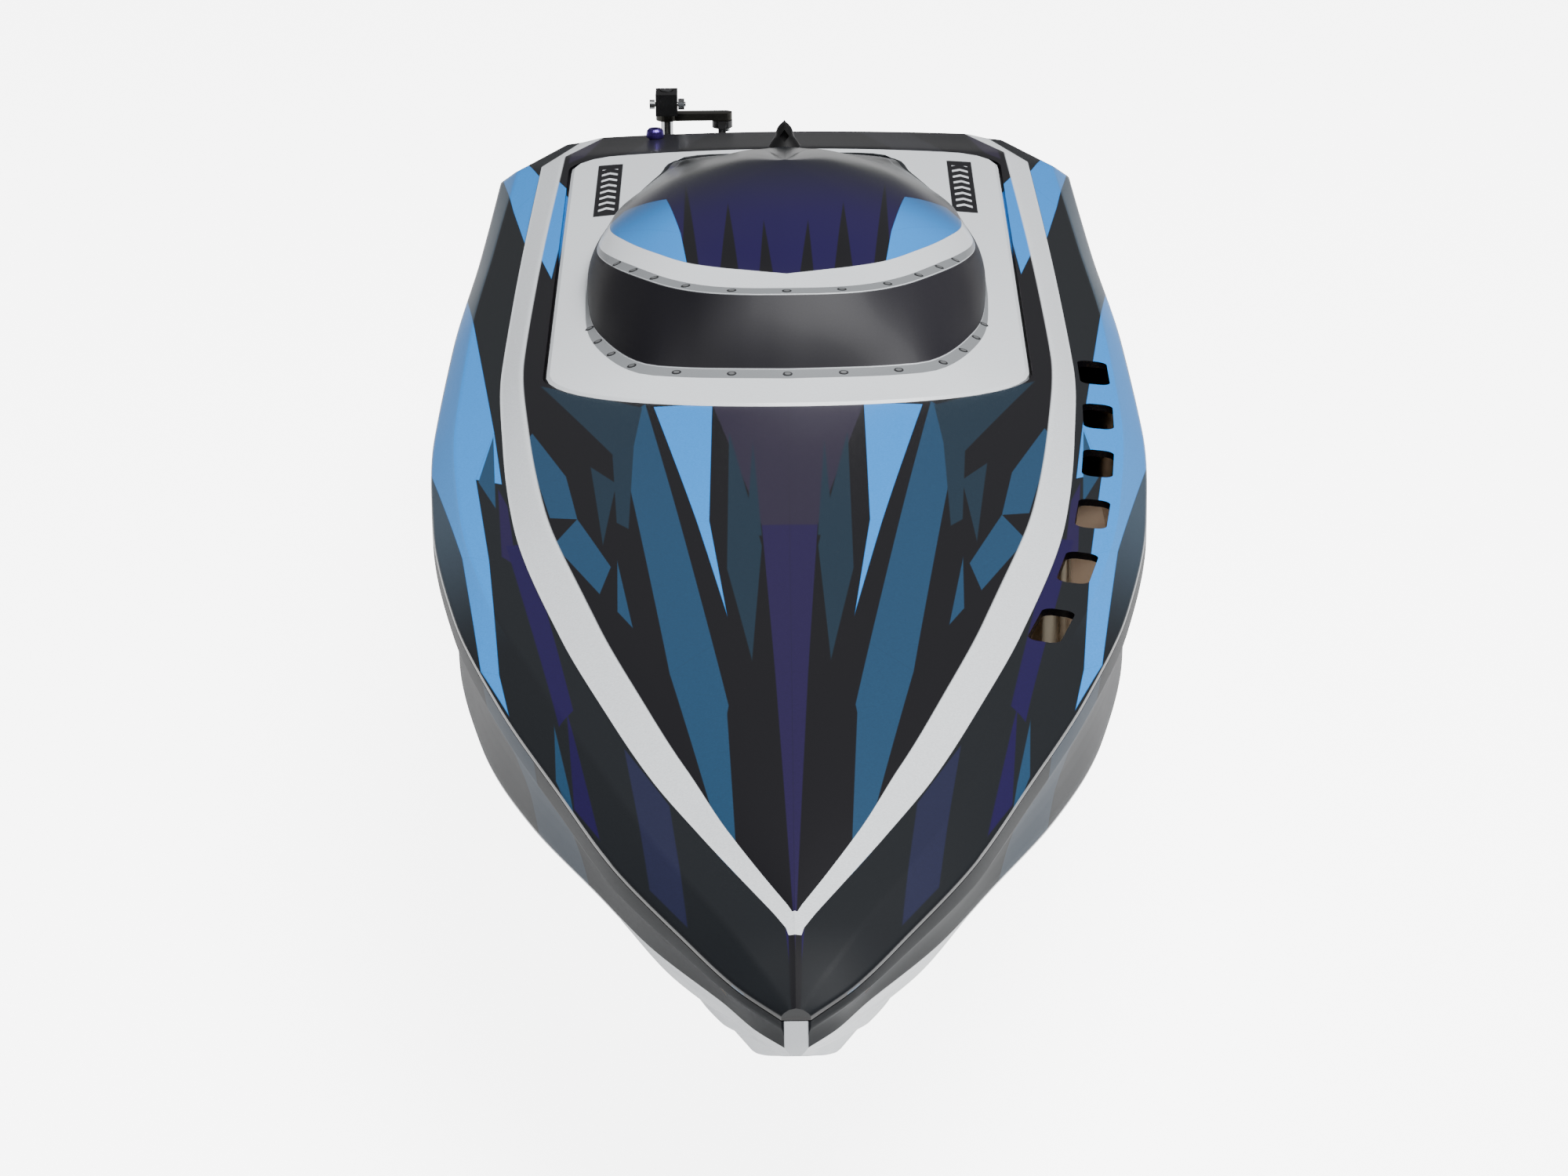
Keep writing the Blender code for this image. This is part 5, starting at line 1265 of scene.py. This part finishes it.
        # Painted reflection: a thin pale wash over the outer facet, from the crease to the gunwale. It grows
        # in from 200 mm ahead of midships and is full from 40 mm ahead of it to the stern.
        facet = brush.between(brush.label, 3.02, 6.0)
        pale = brush.both(facet, brush.ramp(brush.along, -200.0, -40.0))
        brush.lay(brush.both(pale, 0.28), Tint.MIST)
        stripe = brush.between(brush.label, 0.99, 2.0)
        brush.lay(brush.both(stripe, brush.between(brush.along, -414.0, 460.0, 4.0)), Tint.WHITE)
        tip = brush.between(brush.across, -1.0, 1.5, 4.0)
        brush.lay(brush.both(tip, brush.between(brush.along, -414.0, -401.0, 4.0)), Tint.WHITE)
        return brush.done()

    def canopy(self) -> bpy.types.Material:
        """Paint for the canopy: flange, rings, windshield with a painted reflection, band and dome."""
        brush = Brush(self.box, "canopy_paint", Tint.WHITE)
        dome = brush.between(brush.label, 6.0, 9.5)
        brush.lay(dome, Tint.VIOLET)
        brush.shards(self.dome_shards, where=dome)
        brush.lay(brush.both(dome, brush.ramp(brush.along, 150.0, 262.0)), Tint.CARBON)
        band = brush.between(brush.label, 5.0, 6.0)
        brush.lay(brush.both(band, brush.ramp(brush.along, 196.0, 226.0)), Tint.CARBON)
        windshield = brush.between(brush.label, 3.0, 4.0)
        # The windshield is black: this grey is a painted reflection.
        brush.lay(windshield, Tint.PAINTED_REFLECTION)
        brush.dull(windshield, 0.22)
        # Painted reflection kept in a soft band from just starboard of the middle to port: both sides go most
        # of the way back to black.
        for start, end in ((-120.0, -12.0), (60.0, 120.0)):
            side = brush.both(brush.between(brush.side, start, end, 0.05), windshield)
            brush.lay(brush.both(side, 0.7), Tint.BLACK)
        for low in (2.0, 4.0):
            brush.lay(brush.between(brush.label, low, low + 1.0), Tint.RING)
        aft = brush.ramp(brush.along, 240.0, 262.0)
        brush.lay(brush.both(brush.between(brush.label, 2.0, 6.0), aft), Tint.CARBON)
        self.flange_labels(brush)
        return brush.done(0.15)

    def flange_labels(self, brush: Brush) -> None:
        """Dark panels with pale chevrons on both sides of the canopy's flange.

        Args:
            brush: The canopy's paint so far.
        """
        flange = brush.between(brush.label, -1.0, 2.0)
        panel = brush.between(brush.across, 64.0, 74.0, 4.0)
        panel = brush.both(panel, brush.between(brush.along, 292.0, 380.0, 2.0))
        brush.lay(brush.both(panel, flange), Tint.BLACK)
        slant = brush.calc("ABSOLUTE", brush.calc("SUBTRACT", brush.across, 69.0))
        wave = brush.calc("PINGPONG", brush.calc("ADD", brush.along, slant), 5.0)
        chevron = brush.both(brush.between(wave, 3.2, 9.0, 3.0), brush.between(brush.across, 65.8, 72.2, 4.0))
        chevron = brush.both(chevron, brush.between(brush.along, 300.0, 372.0, 2.0))
        brush.lay(brush.both(chevron, flange), Tint.WHITE)

    def hull(self) -> bpy.types.Material:
        """Paint for the hull: white bottom and stem, dark topsides with a pale patch."""
        brush = Brush(self.box, "hull_paint", Tint.WHITE, 0.25)
        brush.shader.inputs["Specular IOR Level"].default_value = 0.3
        topsides = brush.between(brush.label, 2.02, 5.0)
        brush.lay(topsides, Tint.CARBON)
        brush.lay(brush.both(topsides, brush.ramp(brush.along, -260.0, 0.0)), Tint.GREY)
        brush.lay(brush.between(brush.label, 5.5, 7.0), Tint.TAN)
        brush.dull(topsides, 0.2)
        brush.shards(self.topside, brush.profile, topsides)
        stem = brush.between(brush.across, -1.0, 3.4, 3.0)
        brush.lay(brush.both(stem, brush.between(brush.along, -460.0, -400.0, 1.0)), Tint.WHITE)
        transom = brush.between(brush.along, 449.5, 452.0, 5.0)
        brush.lay(brush.both(transom, brush.between(brush.up, 45.0, 200.0, 1.0)), Tint.CARBON)
        return brush.done(0.1)


# ---------------------------------------------------------------- finishes


@dataclass(frozen=True)
class Finish:
    """A plain finish for a piece of gear."""

    name: str
    colour: tuple[int, int, int]
    metallic: float = 0.0
    roughness: float = 0.5
    coat: float = 0.0
    transmission: float = 0.0
    grain: float = 0.12

    def make(self, box: Paintbox) -> bpy.types.Material:
        """The finish as a material."""
        material = bpy.data.materials.new(self.name)
        material.use_nodes = True
        wiring = Wiring(material.node_tree)
        shader = wiring.tree.nodes["Principled BSDF"]
        shader.inputs["Metallic"].default_value = self.metallic
        shader.inputs["Roughness"].default_value = self.roughness
        shader.inputs["Coat Weight"].default_value = self.coat
        shader.inputs["Transmission Weight"].default_value = self.transmission
        inputs = {"Colour": tint(*self.colour), "Scale": 900.0, "Amount": self.grain}
        flake = wiring.add("ShaderNodeGroup", inputs, node_tree=box.flake)
        wiring.tree.links.new(flake.outputs[0], shader.inputs["Base Color"])
        return material


@dataclass(frozen=True)
class GearFinish:
    """A finish and the frame's pieces that wear it."""

    finish: Finish
    nodes: tuple[str, ...]
    bevel: float = 0.0


BRACKET_GREY = Finish("cast_bracket", (58, 57, 52), 0.7, 0.38)
SATIN_ALUMINIUM = Finish("satin_aluminium", (176, 178, 180), 1.0, 0.32)
BRIGHT_STEEL = Finish("bright_steel", (196, 198, 200), 1.0, 0.16)
BLACK_NYLON = Finish("black_nylon", (17, 17, 18), 0.0, 0.42, 0.15)
POLISHED_BRASS = Finish("polished_brass", (176, 138, 66), 1.0, 0.26)
GEAR = (
    GearFinish(BRACKET_GREY, ("rudder_bracket", "rudder_head", "steering_arm"), 0.0005),
    GearFinish(SATIN_ALUMINIUM, ("drive_strut", "rudder_blade", "motor_mount", "tab_bracket_port",
                                 "tab_bracket_starboard", "cooling_outlet"), 0.0003),
    GearFinish(BRIGHT_STEEL, (
        "trim_tab_port", "trim_tab_starboard", "clamp_bolt", "lock_nut", "ball_stud", "horn_pin",
        "horn_screw", "motor_shaft", "propeller_shaft", "pushrod", "rudder_post", "propeller_nut",
        "tab_pin_port", "tab_pin_starboard", "tab_screw_port", "tab_screw_starboard",
    )),
    GearFinish(BLACK_NYLON, (
        "clamp_block", "ball_link", "servo_case", "servo_horn", "servo_link", "servo_mount",
        "battery_tray", "speed_controller", "radio_box", "receiver", "latch_cam",
    ), 0.0004),
    GearFinish(POLISHED_BRASS, ("stuffing_tube", "strut_bush", "drive_dog")),
    GearFinish(Finish("purple_anodised", (84, 62, 150), 0.85, 0.28),
               ("antenna_socket", "shaft_coupler", "controller_cooler")),
    GearFinish(Finish("blued_can", (34, 40, 74), 0.8, 0.3), ("motor_can",)),
    GearFinish(Finish("blue_jacket", (40, 84, 150), 0.8, 0.3), ("cooling_jacket",), 0.0003),
    GearFinish(Finish("propeller_nylon", (26, 26, 28), 0.0, 0.3, 0.3), ("propeller",)),
    GearFinish(Finish("battery_wrap", (34, 60, 128), 0.0, 0.3, 0.4),
               ("battery_pack_port", "battery_pack_starboard"), 0.001),
    GearFinish(Finish("glass_epoxy", (186, 178, 158), 0.0, 0.5), ("flood_chamber_wall",)),
    GearFinish(Finish("soft_rubber", (22, 22, 22), 0.0, 0.75),
               ("hatch_seal", "pushrod_boot", "drain_plug")),
    GearFinish(Finish("pool_foam", (196, 196, 190), 0.0, 0.9), ("flotation_foam",), 0.001),
    GearFinish(Finish("clear_lid", (190, 196, 200), 0.0, 0.08, 0.0, 0.85), ("radio_box_lid",)),
    GearFinish(Finish("woven_strap", (24, 24, 26), 0.0, 0.85),
               ("battery_strap_front", "battery_strap_rear")),
    GearFinish(Finish("steel_cable", (150, 150, 152), 1.0, 0.4), ("flex_shaft",)),
)


@dataclass
class RunningGear:
    """The pieces that keep the frame's own shapes."""

    box: Paintbox
    gear: tuple[GearFinish, ...] = GEAR

    def build(self) -> int:
        """Give every piece its finish, and say how many there are."""
        count = 0
        for entry in self.gear:
            material = entry.finish.make(self.box)
            for name in entry.nodes:
                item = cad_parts[name]
                item.data.materials.clear()
                item.data.materials.append(material)
                shade(item, 32.0)
                if entry.bevel:
                    soften(item, entry.bevel)
                count += 1
        return count


# ---------------------------------------------------------------- latch and fasteners


@dataclass
class LatchKnob:
    """The canopy latch's knob: a flared round foot drawn up to a sharp fin."""

    finish: bpy.types.Material
    pocket: float = 0.0019
    height: float = 0.0097
    stem: float = 0.0024
    levels: int = 26
    steps: int = 48
    flanks: tuple = (
        (0.0, 1.0), (0.15, 0.86), (0.4, 0.62), (0.66, 0.52), (0.85, 0.34), (1.0, 0.04),
    )

    def ring(self, middle: Vector, wide: float, deep: float, z: float) -> list[Vector]:
        """An oval ring of points round the knob's axis at a height."""
        turn = [2 * math.pi * step / self.steps for step in range(self.steps)]
        return [Vector((middle.x + wide * math.cos(a), middle.y + deep * math.sin(a), z)) for a in turn]

    def build(self) -> None:
        """Make the knob in the place of the frame's one."""
        low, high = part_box("latch_knob")
        middle = (low + high) / 2
        reach = (high - low) / 2
        seat = high.z - self.height
        rings = [self.ring(middle, self.stem, self.stem, z) for z in (low.z + 0.0001, seat)]
        for level in range(self.levels + 1):
            t = level / self.levels
            wide = reach.x * smooth(self.flanks, t)
            deep = reach.y * (0.5 + 0.5 * (1 - t) ** 1.5)
            rings.append(self.ring(middle, wide, deep, seat + self.height * t))
        knob = loft("latch_knob_shaped", rings, [[0.0] * self.steps] * len(rings), self.finish)
        size = self.pocket
        front = Vector((middle.x, middle.y - 0.62 * reach.y, seat + 0.5 * self.height))
        diamond = [(size, 0.0), (0.0, size * 1.3), (-size, 0.0), (0.0, -size * 1.3)]
        cutter = prism("cut_pocket", diamond, -0.0022, 0.0022)
        cutter.data.transform(Matrix.Translation(front) @ Matrix.Rotation(math.radians(72), 4, "X"))
        cut(knob, cutter)
        shade(knob, 50.0)
        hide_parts("latch_knob")
        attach(knob, "canopy_latch")


def head_group() -> bpy.types.NodeTree:
    """A Geometry Nodes group that stands a round fastener head on every point of a mesh.

    Its inputs are the points, whose attribute "facing" says which way each head points, the
    head's radius and height, and its two materials.
    """
    sockets = [("Points", "Geometry"), ("Radius", "Float"), ("Height", "Float"), ("Rim", "Material"),
               ("Face", "Material")]
    wiring, entry = node_group("fastener_heads", "GeometryNodeTree", sockets, ("Heads", "Geometry"))
    joined = wiring.add("GeometryNodeJoinGeometry")
    for slot, share, rise in (("Face", 0.62, 1.25), ("Rim", 1.0, 1.0)):
        radius = wiring.calc("MULTIPLY", entry.outputs["Radius"], share)
        height = wiring.calc("MULTIPLY", entry.outputs["Height"], rise * 2)
        disc = wiring.add("GeometryNodeMeshCylinder", {"Vertices": 20, "Radius": radius, "Depth": height})
        dressing = {"Geometry": disc.outputs["Mesh"], "Material": entry.outputs[slot]}
        painted = wiring.add("GeometryNodeSetMaterial", dressing)
        wiring.tree.links.new(painted.outputs[0], joined.inputs[0])
    facing = wiring.add("GeometryNodeInputNamedAttribute", data_type="FLOAT_VECTOR")
    facing.inputs["Name"].default_value = "facing"
    way = {"Vector": facing.outputs["Attribute"]}
    turn = wiring.add("FunctionNodeAlignRotationToVector", way, axis="Z")
    places = {"Points": entry.outputs["Points"], "Instance": joined.outputs[0], "Rotation": turn.outputs[0]}
    stand = wiring.add("GeometryNodeInstanceOnPoints", places)
    real = wiring.add("GeometryNodeRealizeInstances", {0: stand.outputs[0]})
    wiring.add("NodeGroupOutput", {0: real.outputs[0]})
    return wiring.tree


@dataclass
class Heads:
    """Rows of round fastener heads."""

    group: bpy.types.NodeTree
    rim: bpy.types.Material
    face: bpy.types.Material

    def row(self, name: str, places: list[tuple[Vector, Vector]], radius: float, height: float, body: str):
        """Stand a head at every place.

        Args:
            name: The row's name.
            places: Each head's place and the way it points.
            radius: The heads' radius.
            height: How far they stand out.
            body: The body they ride on.

        Returns:
            The row, as one object.
        """
        mesh = bpy.data.meshes.new(name)
        mesh.from_pydata([place for place, _ in places], [], [])
        facing = mesh.attributes.new("facing", "FLOAT_VECTOR", "POINT")
        facing.data.foreach_set("vector", [value for _, way in places for value in way])
        row = show(name, mesh, None)
        modifier = row.modifiers.new("heads", "NODES")
        modifier.node_group = self.group
        values = {"Radius": radius, "Height": height, "Rim": self.rim, "Face": self.face}
        for item in self.group.interface.items_tree:
            if item.name in values:
                modifier[item.identifier] = values[item.name]
        settle(row)
        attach(row, body)
        return row


@dataclass
class Fasteners:
    """Rivets round the canopy's rings and the screws of the stern gear."""

    heads: Heads
    canopy: Canopy
    pitch: float = 0.0195
    rivet: float = 0.0017
    proud: float = 0.00012
    sunk: float = 0.0002
    narrowest: float = 0.0052
    bracket_face: float = 0.4538
    bracket_across: tuple = (-0.0580, -0.0390)
    bracket_up: tuple = (0.057, 0.081)

    def ring(self, name: str, low_label: float, high_label: float) -> None:
        """Rivets along the middle of one of the canopy's rings.

        Args:
            name: The row's name.
            low_label: Label of the ring's lower edge.
            high_label: Label of its upper edge.
        """
        rows = dict(self.canopy.rows())
        low, high = rows[low_label], rows[high_label]
        centre = [(a + b) / 2 for a, b in zip(low, high)]
        lengths = [0.0]
        for start, end in zip(centre, centre[1:]):
            lengths.append(lengths[-1] + (end - start).length)
        places = []
        index = 1
        target = 0.0
        while index < len(centre) and (high[index] - low[index]).length > self.narrowest:
            if lengths[index] >= target:
                across = high[index] - low[index]
                along = centre[index] - centre[index - 1]
                way = across.cross(along).normalized()
                way = way if way.z > 0 else -way
                spot = centre[index].lerp(centre[index - 1], (lengths[index] - target) / along.length)
                places.append((spot - way * self.sunk, way))
                if target > 0:
                    mirrored = Vector((-spot.x, spot.y, spot.z)) - way * self.sunk
                    places.append((mirrored, Vector((-way.x, way.y, way.z))))
                target += self.pitch
            index += 1
        self.heads.row(name, places, self.rivet, self.proud + self.sunk, "canopy")

    def build(self) -> None:
        """Make every row."""
        self.ring("rivets_lower", 2.0, 3.0)
        self.ring("rivets_upper", 4.0, 5.0)
        screws = []
        for x in self.bracket_across:
            for z in self.bracket_up:
                screws.append((Vector((x, self.bracket_face, z)), Vector((0, 1, 0))))
        self.heads.row("bracket_screws", screws, 0.0022, 0.0014, "root")


# ---------------------------------------------------------------- studio


@dataclass
class Studio:
    """A pale floor, soft light and the camera."""

    floor_z: float = -0.040
    location: tuple = (-0.00206, -2.03059, 0.70398)
    pitch: float = 72.1226
    roll: float = -0.6
    lens: float = 143.36
    glow: float = 5.4
    bounce: float = 0.35
    glow_reach: float = 1.38
    sky: float = 0.1
    key_place: tuple = (0.5, -0.3, 2.2)
    key_aim: tuple = (0.0, -0.05, 0.05)
    key_size: float = 1.6
    key_power: float = 118.0

    def floor(self) -> None:
        """Lay the floor, bright enough to read as white paper."""
        material = bpy.data.materials.new("paper")
        material.use_nodes = True
        wiring = Wiring(material.node_tree)
        shader = wiring.tree.nodes["Principled BSDF"]
        shader.inputs["Base Color"].default_value = (0.92, 0.92, 0.92, 1.0)
        shader.inputs["Roughness"].default_value = 0.9
        shader.inputs["Emission Color"].default_value = (1.0, 1.0, 1.0, 1.0)
        place = wiring.add("ShaderNodeTexCoord").outputs["Object"]
        reach = wiring.add("ShaderNodeVectorMath", {0: place}, operation="LENGTH").outputs["Value"]
        limits = {"Value": reach, "From Min": self.glow_reach, "From Max": self.glow_reach * 1.6,
                  "To Min": self.glow, "To Max": self.glow * 0.08}
        fall = wiring.add("ShaderNodeMapRange", limits, interpolation_type="SMOOTHSTEP").outputs[0]
        seen = wiring.add("ShaderNodeLightPath").outputs["Is Camera Ray"]
        strength = wiring.calc("MULTIPLY_ADD", seen, fall, self.bounce)
        wiring.tree.links.new(strength, shader.inputs["Emission Strength"])
        corners = [(-6, -6), (6, -6), (6, 9), (-6, 9)]
        sheet = prism("floor_sheet", corners, self.floor_z - 0.01, self.floor_z, material)

    def lamp(self, name: str, place: tuple, aim: tuple, size: float, power: float) -> None:
        """Hang one soft square lamp.

        Args:
            name: Its name.
            place: Where it hangs.
            aim: What it points at.
            size: Its side.
            power: Its power, in watts.
        """
        data = bpy.data.lights.new(name, "AREA")
        data.size = size
        data.energy = power
        lamp = bpy.data.objects.new(name, data)
        bpy.context.scene.collection.objects.link(lamp)
        way = Vector(aim) - Vector(place)
        lamp.matrix_world = Matrix.Translation(place) @ way.to_track_quat("-Z", "Y").to_matrix().to_4x4()

    def build(self) -> None:
        """Set the stage."""
        self.floor()
        world = bpy.data.worlds.new("studio")
        bpy.context.scene.world = world
        world.use_nodes = True
        background = world.node_tree.nodes["Background"]
        background.inputs[0].default_value = (0.97, 0.98, 1.0, 1.0)
        background.inputs[1].default_value = self.sky
        self.lamp("key", self.key_place, self.key_aim, self.key_size, self.key_power)
        camera = bpy.data.objects.new("camera", bpy.data.cameras.new("camera"))
        camera.data.lens = self.lens
        camera.data.sensor_width = 36.0
        bpy.context.scene.collection.objects.link(camera)
        tilt = Matrix.Rotation(math.radians(self.pitch), 4, "X")
        turn = Matrix.Rotation(math.radians(self.roll), 4, "Z")
        camera.matrix_world = Matrix.Translation(self.location) @ tilt @ turn
        bpy.context.scene.camera = camera


def main() -> None:
    """Build the boat's looks piece by piece."""
    logging.basicConfig(level=logging.INFO, format="%(message)s")
    bpy.context.view_layer.update()
    box = Paintbox(shard_group(), flake_group())
    livery = Livery(box)
    lines = Lines()
    plan = HatchPlan()
    mouldings = HullMoulding(lines, plan, Slots())
    hull = mouldings.build_hull(livery.hull())
    LOG.info("hull: %d polygons", len(hull.data.polygons))
    deck = mouldings.build_deck(livery.deck())
    LOG.info("deck: %d polygons", len(deck.data.polygons))
    cover = Canopy(lines, plan)
    canopy = cover.build(livery.canopy())
    LOG.info("canopy: %d polygons", len(canopy.data.polygons))
    LOG.info("running gear: %d pieces", RunningGear(box).build())
    LatchKnob(BLACK_NYLON.make(box)).build()
    heads = Heads(head_group(), Finish("rivet_rim", (52, 53, 55), 0.4, 0.4).make(box),
                  Finish("rivet_face", (150, 152, 154), 0.7, 0.35).make(box))
    Fasteners(heads, cover).build()
    LOG.info("latch and fasteners are in place")
    Studio().build()
    bpy.context.view_layer.update()


if __name__ == "__main__":
    main()
